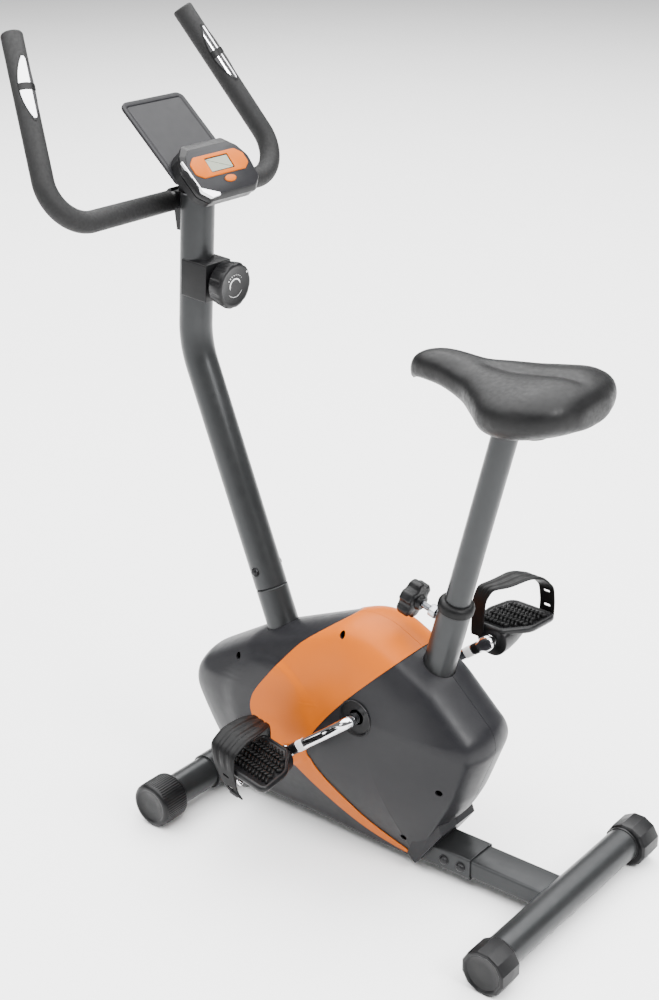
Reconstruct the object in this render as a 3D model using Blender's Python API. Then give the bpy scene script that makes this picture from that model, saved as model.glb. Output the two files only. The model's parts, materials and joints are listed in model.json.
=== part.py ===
"""Upright magnetic exercise bike, built as separate solids.

+X points to the handlebar, +Y to the rider's left and +Z up. The floor is Z = 0, and the
origin is the middle of the bike's footprint. Lengths are in metres and angles in degrees.
"""

import math

import bmesh
import bpy
from mathutils import Matrix, Vector

# Clearances and walls
GAP = 0.0003
TUBE_WALL = 0.0020
SHELL_WALL = 0.0025
COVER_LIFT = 0.0003
COVER_THICKNESS = 0.0012

# Base frame
BAR_RADIUS = 0.0250
BAR_HEIGHT = 0.0356
REAR_BAR_X = -0.4020
FRONT_BAR_X = 0.2187
REAR_HALF_WIDTH = 0.2080
FRONT_HALF_WIDTH = 0.1935
CAP_RADIUS = 0.0340
REAR_CAP_LENGTH = 0.0440
FRONT_CAP_LENGTH = 0.0500
CAP_END_WALL = 0.0060
LEVEL_CAP_SIDES = 12
LEVEL_CAP_OFFSET = 0.0030
BEAM_WIDTH = 0.0580
BEAM_BOTTOM = 0.0170
BEAM_TOP = 0.0520
BEAM_REAR_X = -0.2620
STEM_WIDTH = 0.0535
STEM_BOTTOM = 0.0200
STEM_TOP = 0.0490
STEM_FRONT_X = -0.1750
SADDLE_RADIUS = 0.0280
SADDLE_HALF_WIDTH = 0.0660
BEAM_BOLT_XS = (-0.2165, -0.2457)
BEAM_BOLT_HEIGHT = 0.0345
BOLT_RADIUS = 0.0039
BOLT_HOLE_RADIUS = 0.0043

# Handlebar post: a lower leg that leans forward and an upper leg that leans back
POST_RADIUS = 0.0245
POST_LOWER_POINT = Vector((0.1788, 0.0, 0.5000))
POST_LOWER_LEAN = 20.78
POST_UPPER_POINT = Vector((0.2442, 0.0, 0.9686))
POST_UPPER_LEAN = -4.48
POST_BEND_RADIUS = 0.150
POST_SEAM_HEIGHT = 0.3650
POST_TOP_HEIGHT = 0.9500
POST_BOLT_HEIGHT = 0.3930
SPIGOT_LENGTH = 0.0700

# Seat tube, post and saddle
SEAT_POST_RADIUS = 0.0183
SEAT_TUBE_RADIUS = 0.0235
SEAT_POINT = Vector((-0.2817, 0.0, 0.7000))
SEAT_LEAN = -14.98
SEAT_TUBE_TOP = 0.4270
SEAT_POST_BOTTOM = 0.3100
SEAT_POST_TOP = 0.7080
SADDLE_BASE_HEIGHT = 0.7220
SADDLE_BASE_THICKNESS = 0.0060
SEAT_KNOB_HEIGHT = 0.4060
SEAT_KNOB_REACH = 0.0640

# Drive
CRANK = Vector((-0.0887, 0.0, 0.2462))
CRANK_LENGTH = 0.1307
CRANK_ANGLE = -37.5
CRANK_HUB_Y = 0.0830
CRANK_EYE_Y = 0.1076
CRANK_THICKNESS = 0.0110
AXLE_RADIUS = 0.0085
PULLEY_RADIUS = 0.0950
PULLEY_Y = 0.0350
FLYWHEEL = Vector((0.0720, 0.0, 0.2030))
FLYWHEEL_RADIUS = 0.0780
FLYWHEEL_PULLEY_RADIUS = 0.0160
PEDAL_INNER = 0.0105
PEDAL_OUTER = 0.1090
PEDAL_BOTTOM = 0.0090
PEDAL_TOP = 0.0210
PEDAL_BARREL = 0.0245
STRAP_THICKNESS = 0.0022
LEFT_PEDAL_TILT = 12.0
RIGHT_PEDAL_TILT = 2.0
# Each strap as (forward, outward, up, width) along its middle, from the crank side outwards
LEFT_STRAP = (Vector((0.032, 0.0080, -0.004, 0.022)), Vector((0.038, 0.0080, 0.026, 0.022)),
              Vector((0.040, 0.0180, 0.046, 0.034)), Vector((0.034, 0.0500, 0.056, 0.046)),
              Vector((0.032, 0.0880, 0.059, 0.048)), Vector((0.032, 0.1115, 0.044, 0.046)),
              Vector((0.024, 0.1130, 0.018, 0.041)), Vector((0.004, 0.1135, -0.008, 0.026)),
              Vector((-0.014, 0.1130, -0.018, 0.022)))
RIGHT_STRAP = (Vector((0.024, 0.0080, 0.000, 0.022)), Vector((0.024, 0.0080, 0.058, 0.023)),
               Vector((0.018, 0.0140, 0.078, 0.027)), Vector((0.006, 0.0360, 0.080, 0.036)),
               Vector((-0.006, 0.0680, 0.086, 0.040)), Vector((-0.018, 0.0900, 0.080, 0.034)),
               Vector((-0.028, 0.1080, 0.062, 0.027)), Vector((-0.030, 0.1110, 0.036, 0.026)),
               Vector((-0.030, 0.1110, 0.006, 0.026)))

# Housing
SEAM_HALF_GAP = 0.00015
EDGE_LOW = 0.0330
EDGE_HIGH = 0.0520
MIDDLE_HIGH = 0.0740
TAPER_BOTTOM = 0.0195
TAPER_HEIGHT = 0.160
CROWN = 0.0125
BULGE_REACH = 0.035
RIM_INSET = 0.0100
SCREW_PLACES = (Vector((0.1477, 0.054, 0.2635)), Vector((-0.0515, 0.052, 0.3600)),
                Vector((-0.2280, 0.058, 0.1680)), Vector((-0.1550, 0.042, 0.0560)))
SCREW_COUNT = 2
FOOT_HALF_WIDTH = 0.0420
# Side view of the stepped block at the rear foot of the housing
FOOT_OUTLINE = ((-0.1740, 0.0170), (-0.1790, 0.0230), (-0.2060, 0.0640), (-0.2180, 0.0830),
                (-0.2060, 0.0985), (-0.1850, 0.0945), (-0.1600, 0.0300))
CRANK_HOLE_RADIUS = 0.0270

# Handlebar, clamp and console
HANDLEBAR_RADIUS = 0.0127
GRIP_RADIUS = 0.0155
BAR_CENTRE = Vector((0.2845, 0.0, 0.9345))
BAR_CORNER = Vector((0.2845, 0.2411, 0.9345))
BAR_END = Vector((0.4221, 0.1674, 1.1728))
BAR_BEND_RADIUS = 0.055
CLAMP_THICKNESS = 0.0044
# How far each pulse sensor is turned outwards round its grip, from facing the rider
SENSOR_TURNS = {"left": 16.0, "right": 2.0}
SENSOR_START = 0.0360
SENSOR_LENGTH = 0.0970
TENSION_HEIGHT = 0.8280
TENSION_DEPTH = 0.0420
PLATE_TOP = Vector((0.3300, 0.0, 1.0735))
PLATE_BOTTOM = Vector((0.2234, 0.0, 0.9745))
PLATE_HALF_WIDTH = 0.0625
PLATE_THICKNESS = 0.0050
FACE_BOTTOM = Vector((0.1765, 0.0, 0.9636))
FACE_SLOPE = 48.5


# ---------------------------------------------------------------- scene and materials

def clear_scene():
    for item in list(bpy.data.objects):
        bpy.data.objects.remove(item, do_unlink=True)


def make_material(name, colour, roughness, metallic):
    finish = bpy.data.materials.new(name)
    finish.use_nodes = True
    shader = finish.node_tree.nodes["Principled BSDF"]
    shader.inputs["Base Color"].default_value = (*colour, 1.0)
    shader.inputs["Roughness"].default_value = roughness
    shader.inputs["Metallic"].default_value = metallic
    return finish


FINISHES = {
    "powder_coat": ((0.085, 0.086, 0.088), 0.38, 0.30),
    "housing_grey": ((0.080, 0.080, 0.086), 0.25, 0.0),
    "orange": ((0.80, 0.19, 0.03), 0.25, 0.0),
    "black_plastic": ((0.016, 0.016, 0.018), 0.45, 0.0),
    "black_rubber": ((0.025, 0.025, 0.026), 0.75, 0.0),
    "foam": ((0.018, 0.018, 0.019), 0.80, 0.0),
    "saddle_skin": ((0.024, 0.024, 0.025), 0.42, 0.0),
    "chrome": ((0.80, 0.80, 0.82), 0.12, 1.0),
    "steel": ((0.42, 0.43, 0.45), 0.35, 1.0),
    "black_steel": ((0.020, 0.020, 0.022), 0.30, 0.6),
    "screen": ((0.30, 0.33, 0.28), 0.15, 0.0),
}


# ---------------------------------------------------------------- mesh building blocks

def add_mesh(name, vertices, faces, finish, origin=Vector((0.0, 0.0, 0.0)), sharp=35.0):
    """Make one closed object from world-space vertices, with its origin where it is asked for."""
    mesh = bpy.data.meshes.new(name)
    shape = bmesh.new()
    corners = [shape.verts.new(Vector(point) - origin) for point in vertices]
    for face in faces:
        shape.faces.new([corners[index] for index in face])
    bmesh.ops.remove_doubles(shape, verts=shape.verts, dist=1e-6)
    bmesh.ops.recalc_face_normals(shape, faces=shape.faces)
    shape.to_mesh(mesh)
    shape.free()
    mesh.shade_smooth()
    mesh.set_sharp_from_angle(angle=math.radians(sharp))
    item = bpy.data.objects.new(name, mesh)
    item.location = origin
    bpy.context.scene.collection.objects.link(item)
    colour, roughness, metallic = FINISHES[finish]
    mesh.materials.append(make_material(name, colour, roughness, metallic))
    return item


def skin_rings(rings, looped=False):
    """Faces between successive rings of equal size: capped ends, or a loop back to the first."""
    count = len(rings[0])
    vertices = [point for ring in rings for point in ring]
    spans = len(rings) if looped else len(rings) - 1
    faces = []
    for level in range(spans):
        low = level * count
        high = ((level + 1) % len(rings)) * count
        for index in range(count):
            after = (index + 1) % count
            faces.append((low + index, low + after, high + after, high + index))
    if not looped:
        faces.append(tuple(range(count)))
        faces.append(tuple(range((len(rings) - 1) * count, len(rings) * count)))
    return vertices, faces


def add_rings(name, rings, finish, looped=False, **options):
    vertices, faces = skin_rings(rings, looped)
    return add_mesh(name, vertices, faces, finish, **options)


def circle(centre, across, up, radius, segments):
    ring = []
    for index in range(segments):
        turn = 2.0 * math.pi * index / segments
        ring.append(centre + across * (radius * math.cos(turn)) + up * (radius * math.sin(turn)))
    return ring


def frame_for(direction):
    """Two unit vectors square to a direction."""
    helper = Vector((0.0, 1.0, 0.0)) if abs(direction.y) < 0.9 else Vector((1.0, 0.0, 0.0))
    across = direction.cross(helper).normalized()
    return across, direction.cross(across).normalized()


def path_rings(path, radius, segments, start_cut=None, end_cut=None):
    """Circles along a path. A cut is (point, normal): the end ring is slid onto that plane."""
    tangents = []
    for index in range(len(path)):
        before = path[max(index - 1, 0)]
        after = path[min(index + 1, len(path) - 1)]
        tangents.append((after - before).normalized())
    across, up = frame_for(tangents[0])
    rings = []
    for index, centre in enumerate(path):
        if index:
            turn = tangents[index - 1].rotation_difference(tangents[index])
            across = turn @ across
            up = turn @ up
        rings.append(circle(centre, across, up, radius, segments))
    for cut, slot in ((start_cut, 0), (end_cut, -1)):
        if cut:
            point, normal = cut
            along = tangents[slot]
            rings[slot] = [spot + along * ((point - spot).dot(normal) / along.dot(normal))
                           for spot in rings[slot]]
    return rings


def add_tube(name, path, outer, inner, finish, segments=24, start_cut=None, end_cut=None,
             **options):
    outside = path_rings(path, outer, segments, start_cut, end_cut)
    inside = path_rings(path, inner, segments, start_cut, end_cut)
    return add_rings(name, outside + inside[::-1], finish, looped=True, **options)


def add_turned(name, profile, centre, axis, finish, segments=24, looped=False, **options):
    """Turn a profile of (radius, height) pairs round an axis through centre."""
    across, up = frame_for(axis)
    rings = [circle(centre + axis * height, across, up, radius, segments)
             for radius, height in profile]
    return add_rings(name, rings, finish, looped=looped, **options)


def add_prism(name, outline, place, finish, hole=None, **options):
    """Extrude a closed 2D outline between depths. place(u, v, side) gives the world point."""
    near = [place(u, v, 0) for u, v in outline]
    far = [place(u, v, 1) for u, v in outline]
    if hole is None:
        return add_rings(name, [near, far], finish, **options)
    hole_near = [place(u, v, 0) for u, v in hole]
    hole_far = [place(u, v, 1) for u, v in hole]
    return add_rings(name, [near, far, hole_far, hole_near], finish, looped=True, **options)


def rounded(corners, steps=5, closed=True):
    """Corners of (point, radius) to a polyline with an arc at each corner."""
    count = len(corners)
    points = []
    for index, (corner, radius) in enumerate(corners):
        if not closed and index in (0, count - 1):
            points.append(corner.copy())
            continue
        before = (corners[index - 1][0] - corner).normalized()
        after = (corners[(index + 1) % count][0] - corner).normalized()
        half = before.angle(after) / 2.0
        setback = radius / math.tan(half)
        centre = corner + (before + after).normalized() * (radius / math.sin(half))
        start = corner + before * setback - centre
        end = corner + after * setback - centre
        sweep = start.angle(end)
        for step in range(steps + 1):
            share = step / steps
            weight_a = math.sin((1.0 - share) * sweep) / math.sin(sweep)
            weight_b = math.sin(share * sweep) / math.sin(sweep)
            points.append(centre + start * weight_a + end * weight_b)
    return points


def rounded_box(half_u, half_v, radius, steps=3):
    """A rectangle with round corners, as (u, v) pairs about its middle."""
    corners = [(Vector((u * half_u, v * half_v)), radius)
               for u, v in ((1, -1), (1, 1), (-1, 1), (-1, -1))]
    return [(point.x, point.y) for point in rounded(corners, steps)]


def add_cutter(name, rings):
    item = add_rings(name, rings, "steel")
    item.hide_render = True
    item.display_type = "WIRE"
    return item


def cut(target, cutter, operation="DIFFERENCE"):
    modifier = target.modifiers.new(cutter.name, "BOOLEAN")
    modifier.operation = operation
    modifier.solver = "EXACT"
    modifier.object = cutter
    return modifier


def box_rings(low, high):
    def ring(height):
        return [Vector((low[0], low[1], height)), Vector((high[0], low[1], height)),
                Vector((high[0], high[1], height)), Vector((low[0], high[1], height))]
    return [ring(low[2]), ring(high[2])]


def lean_axis(degrees):
    """Unit vector that goes up and leans towards +X by an angle."""
    angle = math.radians(degrees)
    return Vector((math.sin(angle), 0.0, math.cos(angle)))


def at_height(point, axis, height):
    return point + axis * ((height - point.z) / axis.z)


SIDE = Vector((0.0, 1.0, 0.0))
LEVEL = Vector((0.0, 0.0, 1.0))
POST_LOWER_AXIS = lean_axis(POST_LOWER_LEAN)
POST_UPPER_AXIS = lean_axis(POST_UPPER_LEAN)
SEAT_AXIS = lean_axis(SEAT_LEAN)


# ---------------------------------------------------------------- base frame

def rectangular_tube(name, start, end, width, bottom, top, finish):
    middle = (bottom + top) / 2.0
    outline = rounded_box(width / 2.0, (top - bottom) / 2.0, 0.004, 2)
    bore = rounded_box(width / 2.0 - TUBE_WALL, (top - bottom) / 2.0 - TUBE_WALL, 0.002, 2)

    def place(u, v, side):
        return Vector((end if side else start, u, middle + v))

    return add_prism(name, outline, place, finish, hole=bore)


def add_through_bolt(name, centre, grip):
    """Bolt across the bike with a nut on its right and a domed head on its left.

    grip is half the width of what it holds together.
    """
    half = grip + GAP
    profile = [(0.0010, -half - 0.0055), (0.0068, -half - 0.0045), (0.0068, -half),
               (BOLT_RADIUS, -half), (BOLT_RADIUS, half), (0.0072, half), (0.0066, half + 0.0022),
               (0.0036, half + 0.0045), (0.0010, half + 0.0050)]
    add_turned(name, profile, centre, SIDE, "black_steel", 12)


def bar_cutter(name, x, radius):
    ends = [Vector((x, -0.08, BAR_HEIGHT)), Vector((x, 0.08, BAR_HEIGHT))]
    return add_cutter(name, path_rings(ends, radius, 24))


def make_beam():
    beam = rectangular_tube("main_beam", BEAM_REAR_X, FRONT_BAR_X, BEAM_WIDTH, BEAM_BOTTOM,
                            BEAM_TOP, "powder_coat")
    cut(beam, bar_cutter("cutter_front_saddle", FRONT_BAR_X, SADDLE_RADIUS + GAP))
    stem = rectangular_tube("rear_stem", REAR_BAR_X, STEM_FRONT_X, STEM_WIDTH, STEM_BOTTOM,
                            STEM_TOP, "powder_coat")
    cut(stem, bar_cutter("cutter_rear_bar", REAR_BAR_X, BAR_RADIUS + GAP))
    for index, x in enumerate(BEAM_BOLT_XS, start=1):
        ends = [Vector((x, -0.05, BEAM_BOLT_HEIGHT)), Vector((x, 0.05, BEAM_BOLT_HEIGHT))]
        drill = add_cutter(f"cutter_beam_bolt_{index}", path_rings(ends, BOLT_HOLE_RADIUS, 12))
        cut(beam, drill)
        cut(stem, drill)
        add_through_bolt(f"beam_bolt_{index}", Vector((x, 0.0, BEAM_BOLT_HEIGHT)), BEAM_WIDTH / 2.0)


def make_stabilizers():
    for name, x, half in (("rear_stabilizer", REAR_BAR_X, REAR_HALF_WIDTH),
                          ("front_stabilizer", FRONT_BAR_X, FRONT_HALF_WIDTH)):
        reach = half - CAP_END_WALL - GAP
        ends = [Vector((x, -reach, BAR_HEIGHT)), Vector((x, reach, BAR_HEIGHT))]
        add_tube(name, ends, BAR_RADIUS, BAR_RADIUS - TUBE_WALL, "powder_coat")


def make_front_saddle():
    """A sleeve welded to the beam. It wraps the front bar and is open at the bottom front."""
    inner = BAR_RADIUS + GAP
    first, last, steps = -60.0, 250.0, 20
    angles = [math.radians(first + (last - first) * step / steps) for step in range(steps + 1)]
    outline = [(SADDLE_RADIUS * math.cos(a), SADDLE_RADIUS * math.sin(a)) for a in angles]
    outline += [(inner * math.cos(a), inner * math.sin(a)) for a in reversed(angles)]

    def place(u, v, side):
        y = SADDLE_HALF_WIDTH if side else -SADDLE_HALF_WIDTH
        return Vector((FRONT_BAR_X + u, y, BAR_HEIGHT + v))

    add_prism("front_saddle", outline, place, "powder_coat")


def make_level_cap(name, side):
    """Faceted levelling cap. Its outline is off-centre, so turning it changes its height."""
    face = side * REAR_HALF_WIDTH
    rim = side * (REAR_HALF_WIDTH - REAR_CAP_LENGTH)
    floor = side * (REAR_HALF_WIDTH - CAP_END_WALL)
    apothem = CAP_RADIUS * math.cos(math.pi / LEVEL_CAP_SIDES)
    middle = Vector((REAR_BAR_X - LEVEL_CAP_OFFSET, 0.0, apothem))
    bore = Vector((REAR_BAR_X, 0.0, BAR_HEIGHT))
    turn = math.pi / LEVEL_CAP_SIDES

    def ring(centre, y, radius):
        points = []
        for index in range(LEVEL_CAP_SIDES * 2):
            angle = turn * index - math.pi / 2.0
            reach = radius if index % 2 else radius * math.cos(turn)
            points.append(centre + Vector((reach * math.cos(angle), y, reach * math.sin(angle))))
        return points

    def round_ring(y, radius):
        return [bore + Vector((radius * math.cos(turn * index - math.pi / 2.0), y,
                               radius * math.sin(turn * index - math.pi / 2.0)))
                for index in range(LEVEL_CAP_SIDES * 2)]

    hollow = BAR_RADIUS + GAP
    rings = [ring(middle, face - side * 0.0030, CAP_RADIUS * 0.70),
             ring(middle, face, CAP_RADIUS * 0.80), ring(middle, face, CAP_RADIUS - 0.0020),
             ring(middle, face - side * 0.0025, CAP_RADIUS),
             ring(middle, rim + side * 0.0060, CAP_RADIUS),
             ring(middle, rim, CAP_RADIUS - 0.0035),
             round_ring(rim, hollow), round_ring(floor, hollow)]
    return add_rings(name, rings, "black_plastic", origin=bore)


def make_roller_cap(name, side):
    """Ribbed round cap of the front bar, which turns on it to roll the tipped-up bike."""
    face = FRONT_HALF_WIDTH
    rim = FRONT_HALF_WIDTH - FRONT_CAP_LENGTH
    hollow = BAR_RADIUS + GAP
    outer = BAR_HEIGHT
    profile = [(0.0100, face - 0.0010), (outer - 0.0060, face), (outer - 0.0010, face - 0.0040),
               (outer, face - 0.0090), (outer, rim + 0.0060), (outer - 0.0015, rim + 0.0015),
               (outer - 0.0035, rim), (hollow, rim), (hollow, face - CAP_END_WALL)]
    centre = Vector((FRONT_BAR_X, 0.0, BAR_HEIGHT))
    flipped = [(radius, side * y) for radius, y in profile]
    return add_turned(name, flipped, centre, SIDE, "black_plastic", 32, origin=centre)


# ---------------------------------------------------------------- handlebar post

def make_post():
    seam = at_height(POST_LOWER_POINT, POST_LOWER_AXIS, POST_SEAM_HEIGHT)
    foot = at_height(POST_LOWER_POINT, POST_LOWER_AXIS, BEAM_TOP + GAP)
    inner = POST_RADIUS - TUBE_WALL
    slip = inner - GAP
    segments = 24
    beam_top = (foot, LEVEL)
    outside = path_rings([foot, seam], POST_RADIUS, segments, start_cut=beam_top)
    spigot_top = seam + POST_LOWER_AXIS * SPIGOT_LENGTH
    spigot = path_rings([seam, spigot_top], slip, segments)
    bore = path_rings([foot, spigot_top], slip - TUBE_WALL, segments, start_cut=beam_top)
    stub = add_rings("post_stub", outside + spigot + bore[::-1], "powder_coat", looped=True)

    rise = (POST_UPPER_POINT - POST_LOWER_POINT)
    run = (rise.x * POST_UPPER_AXIS.z - rise.z * POST_UPPER_AXIS.x) / (
        POST_LOWER_AXIS.x * POST_UPPER_AXIS.z - POST_LOWER_AXIS.z * POST_UPPER_AXIS.x)
    bend = POST_LOWER_POINT + POST_LOWER_AXIS * run
    start = seam + POST_LOWER_AXIS * GAP
    top = at_height(POST_UPPER_POINT, POST_UPPER_AXIS, POST_TOP_HEIGHT)
    path = rounded([(start, 0.0), (bend, POST_BEND_RADIUS), (top, 0.0)], 6, closed=False)
    post = add_tube("handlebar_post", path, POST_RADIUS, inner, "powder_coat", segments,
                    end_cut=(top, LEVEL))

    bolt_at = at_height(POST_LOWER_POINT, POST_LOWER_AXIS, POST_BOLT_HEIGHT)
    ends = [bolt_at - SIDE * 0.04, bolt_at + SIDE * 0.04]
    drill = add_cutter("cutter_post_bolt", path_rings(ends, BOLT_HOLE_RADIUS, 12))
    cut(stub, drill)
    cut(post, drill)
    add_through_bolt("post_bolt", bolt_at, POST_RADIUS)


# ---------------------------------------------------------------- seat tube, post and saddle

def make_seat_tube():
    foot = at_height(SEAT_POINT, SEAT_AXIS, BEAM_TOP + GAP)
    top = at_height(SEAT_POINT, SEAT_AXIS, SEAT_TUBE_TOP)
    bore = SEAT_TUBE_RADIUS - TUBE_WALL
    tube = add_tube("seat_tube", [foot, top], SEAT_TUBE_RADIUS, bore, "powder_coat",
                    start_cut=(foot, LEVEL))
    slide = SEAT_POST_RADIUS + GAP
    profile = [(slide, -0.050), (bore - GAP, -0.050), (bore - GAP, GAP), (0.0255, GAP),
               (0.0262, 0.004), (0.0262, 0.010), (0.0240, 0.014), (0.0215, 0.016),
               (slide, 0.016)]
    bushing = add_turned("seat_bushing", profile, top, SEAT_AXIS, "black_rubber", looped=True)
    return tube, bushing


def seat_knob_axis():
    """Out of the front of the seat tube, square to it."""
    return Vector((SEAT_AXIS.z, 0.0, -SEAT_AXIS.x))


def make_seat_knob(tube, bushing):
    """Star knob on a threaded pin, with its nut welded to the tube."""
    outward = seat_knob_axis()
    middle = at_height(SEAT_POINT, SEAT_AXIS, SEAT_KNOB_HEIGHT)
    reach = SEAT_KNOB_REACH
    drill = add_cutter("cutter_seat_pin", path_rings([middle + outward * 0.010,
                                                      middle + outward * 0.050], 0.0053, 12))
    cut(tube, drill)
    cut(bushing, drill)
    nut = [(0.0053, SEAT_TUBE_RADIUS + GAP + 0.0018), (0.0095, SEAT_TUBE_RADIUS + GAP + 0.0018),
           (0.0100, SEAT_TUBE_RADIUS + 0.0125), (0.0080, SEAT_TUBE_RADIUS + 0.0140),
           (0.0053, SEAT_TUBE_RADIUS + 0.0140)]
    add_turned("seat_pin_nut", nut, middle, outward, "steel", 12, looped=True)

    across, up = frame_for(outward)
    lobes, segments = 6, 36

    def lobed(height, radius, depth):
        ring = []
        for index in range(segments):
            turn = 2.0 * math.pi * index / segments
            size = radius + depth * math.cos(lobes * turn)
            ring.append(middle + outward * height + across * (size * math.cos(turn))
                        + up * (size * math.sin(turn)))
        return ring

    tip = SEAT_POST_RADIUS + 2 * GAP
    rings = [lobed(tip, 0.0030, 0.0), lobed(tip + 0.004, 0.0048, 0.0),
             lobed(reach - 0.014, 0.0048, 0.0), lobed(reach - 0.013, 0.0100, 0.0),
             lobed(reach - 0.007, 0.0120, 0.0), lobed(reach - 0.006, 0.0225, 0.0020),
             lobed(reach - 0.003, 0.0250, 0.0025), lobed(reach + 0.010, 0.0250, 0.0025),
             lobed(reach + 0.014, 0.0215, 0.0015), lobed(reach + 0.0145, 0.0120, 0.0)]
    add_rings("seat_knob", rings, "black_plastic", origin=middle + outward * reach)


def make_seat_post():
    bottom = at_height(SEAT_POINT, SEAT_AXIS, SEAT_POST_BOTTOM)
    top = at_height(SEAT_POINT, SEAT_AXIS, SEAT_POST_TOP)
    add_tube("seat_post", [bottom, top], SEAT_POST_RADIUS, SEAT_POST_RADIUS - 0.0016,
             "powder_coat", origin=bottom)
    under = Vector((0.0, 0.0, SADDLE_BASE_HEIGHT - GAP))
    add_tube("saddle_clamp", [top + SEAT_AXIS * GAP, top + SEAT_AXIS * 0.020], 0.0215, 0.0100,
             "black_steel", end_cut=(under, LEVEL))


SADDLE_NOSE = Vector((-0.1330, 0.0, 0.7770))
SADDLE_LENGTH = 0.2830
SADDLE_HALF_WIDTH_MAX = 0.1020
# Sections from the nose back: share of the length, share of the half width, rise of the top
# over the nose tip, and depth of the section
SADDLE_STATIONS = (
    (0.00, 0.10, 0.000, 0.030), (0.03, 0.19, 0.012, 0.036), (0.10, 0.27, 0.020, 0.042),
    (0.22, 0.33, 0.022, 0.048), (0.36, 0.44, 0.018, 0.056), (0.48, 0.68, 0.016, 0.066),
    (0.58, 0.90, 0.016, 0.074), (0.70, 1.00, 0.020, 0.078), (0.82, 0.98, 0.024, 0.074),
    (0.91, 0.86, 0.022, 0.064), (0.97, 0.64, 0.014, 0.050), (1.00, 0.36, 0.000, 0.034))


def make_saddle():
    """A padded body over a plastic base; both are lofted from the nose to the tail."""
    segments = 20

    def section(share, width, rise, drop, shrink):
        x = SADDLE_NOSE.x - share * SADDLE_LENGTH
        half = SADDLE_HALF_WIDTH_MAX * width - shrink
        ring = []
        for index in range(segments):
            turn = 2.0 * math.pi * index / segments
            side = math.copysign(abs(math.cos(turn)) ** 0.8, math.cos(turn))
            tall = math.copysign(abs(math.sin(turn)) ** 0.8, math.sin(turn))
            middle = SADDLE_NOSE.z + rise - drop / 2.0
            ring.append(Vector((x, half * side, middle + tall * (drop / 2.0 - shrink))))
        return ring

    rings = [section(*station, 0.0) for station in SADDLE_STATIONS]
    pad = add_rings("saddle_pad", rings, "saddle_skin", sharp=60.0)
    low = Vector((-0.50, -0.15, 0.60))
    high = Vector((0.0, 0.15, SADDLE_BASE_HEIGHT + SADDLE_BASE_THICKNESS + GAP))
    cut(pad, add_cutter("cutter_saddle_floor", box_rings(low, high)))
    outline = rounded([(Vector((-0.245, -0.018)), 0.010), (Vector((-0.245, 0.018)), 0.010),
                       (Vector((-0.300, 0.048)), 0.025), (Vector((-0.360, 0.044)), 0.020),
                       (Vector((-0.360, -0.044)), 0.020), (Vector((-0.300, -0.048)), 0.025)], 4)

    def place(u, v, side):
        return Vector((u, v, SADDLE_BASE_HEIGHT + (SADDLE_BASE_THICKNESS if side else 0.0)))

    add_prism("saddle_base", [(p.x, p.y) for p in outline], place, "black_plastic")


# ---------------------------------------------------------------- crank, pedals and drive

def make_crank_shell():
    """Bearing shell of the crank axle, welded on a gusset that stands on the beam."""
    radius = 0.0200
    profile = [(AXLE_RADIUS + 0.0005, -0.0340), (radius, -0.0340), (radius, 0.0280),
               (AXLE_RADIUS + 0.0005, 0.0280)]
    shell = add_turned("crank_shell", profile, CRANK, SIDE, "powder_coat", looped=True)
    low = BEAM_TOP + GAP
    high = CRANK.z - radius + 0.0050
    outline = [(0.012, low), (0.070, low), (0.014, high), (-0.010, high)]
    gusset = [[Vector((CRANK.x + u, y, v)) for u, v in outline] for y in (-0.012, 0.012)]
    cut(shell, add_cutter("cutter_gusset", gusset), "UNION")


def capsule(length, big, small, steps=8):
    """Outline of a tapered link: a big round end at 0 and a small one at length."""
    lean = math.asin((big - small) / length)
    points = []
    for step in range(steps + 1):
        turn = math.pi / 2.0 - lean - (math.pi - 2.0 * lean) * step / steps
        points.append((length + small * math.cos(turn), small * math.sin(turn)))
    for step in range(steps + 1):
        turn = -(math.pi / 2.0 - lean) - (math.pi + 2.0 * lean) * step / steps
        points.append((big * math.cos(turn), big * math.sin(turn)))
    return points


def make_crank_arm(name, side):
    """A link that flares outwards from the axle to the pedal. Its hub has a bore for the axle."""
    angle = math.radians(CRANK_ANGLE) + (0.0 if side > 0 else math.pi)
    along = Vector((math.cos(angle), 0.0, math.sin(angle)))
    square = Vector((-along.z, 0.0, along.x))
    flare = (CRANK_EYE_Y - CRANK_HUB_Y) / CRANK_LENGTH

    def place(u, v, outer):
        depth = CRANK_THICKNESS / 2.0 * (1.0 if outer else -1.0)
        share = min(max((u - 0.018) / (CRANK_LENGTH - 0.036), 0.0), 1.0)
        y = CRANK_HUB_Y + flare * CRANK_LENGTH * share + depth
        return CRANK + along * u + square * v + SIDE * (side * y)

    outline = capsule(CRANK_LENGTH, 0.0140, 0.0110)
    total = len(outline)
    bore = [((AXLE_RADIUS + GAP) * math.cos(math.pi / 2.0 - 2.0 * math.pi * i / total),
             (AXLE_RADIUS + GAP) * math.sin(math.pi / 2.0 - 2.0 * math.pi * i / total))
            for i in range(total)]
    add_prism(name, outline, place, "chrome", hole=bore, origin=CRANK)
    seat = CRANK_HUB_Y + CRANK_THICKNESS / 2.0 + GAP
    bolt = [(0.0040, seat), (0.0085, seat), (0.0085, seat + 0.0025), (0.0070, seat + 0.0040),
            (0.0040, seat + 0.0045)]
    flipped = [(radius, side * y) for radius, y in bolt]
    add_turned(f"{name}_bolt", flipped, CRANK, SIDE, "steel", 12, origin=CRANK)
    return CRANK + along * CRANK_LENGTH


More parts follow.
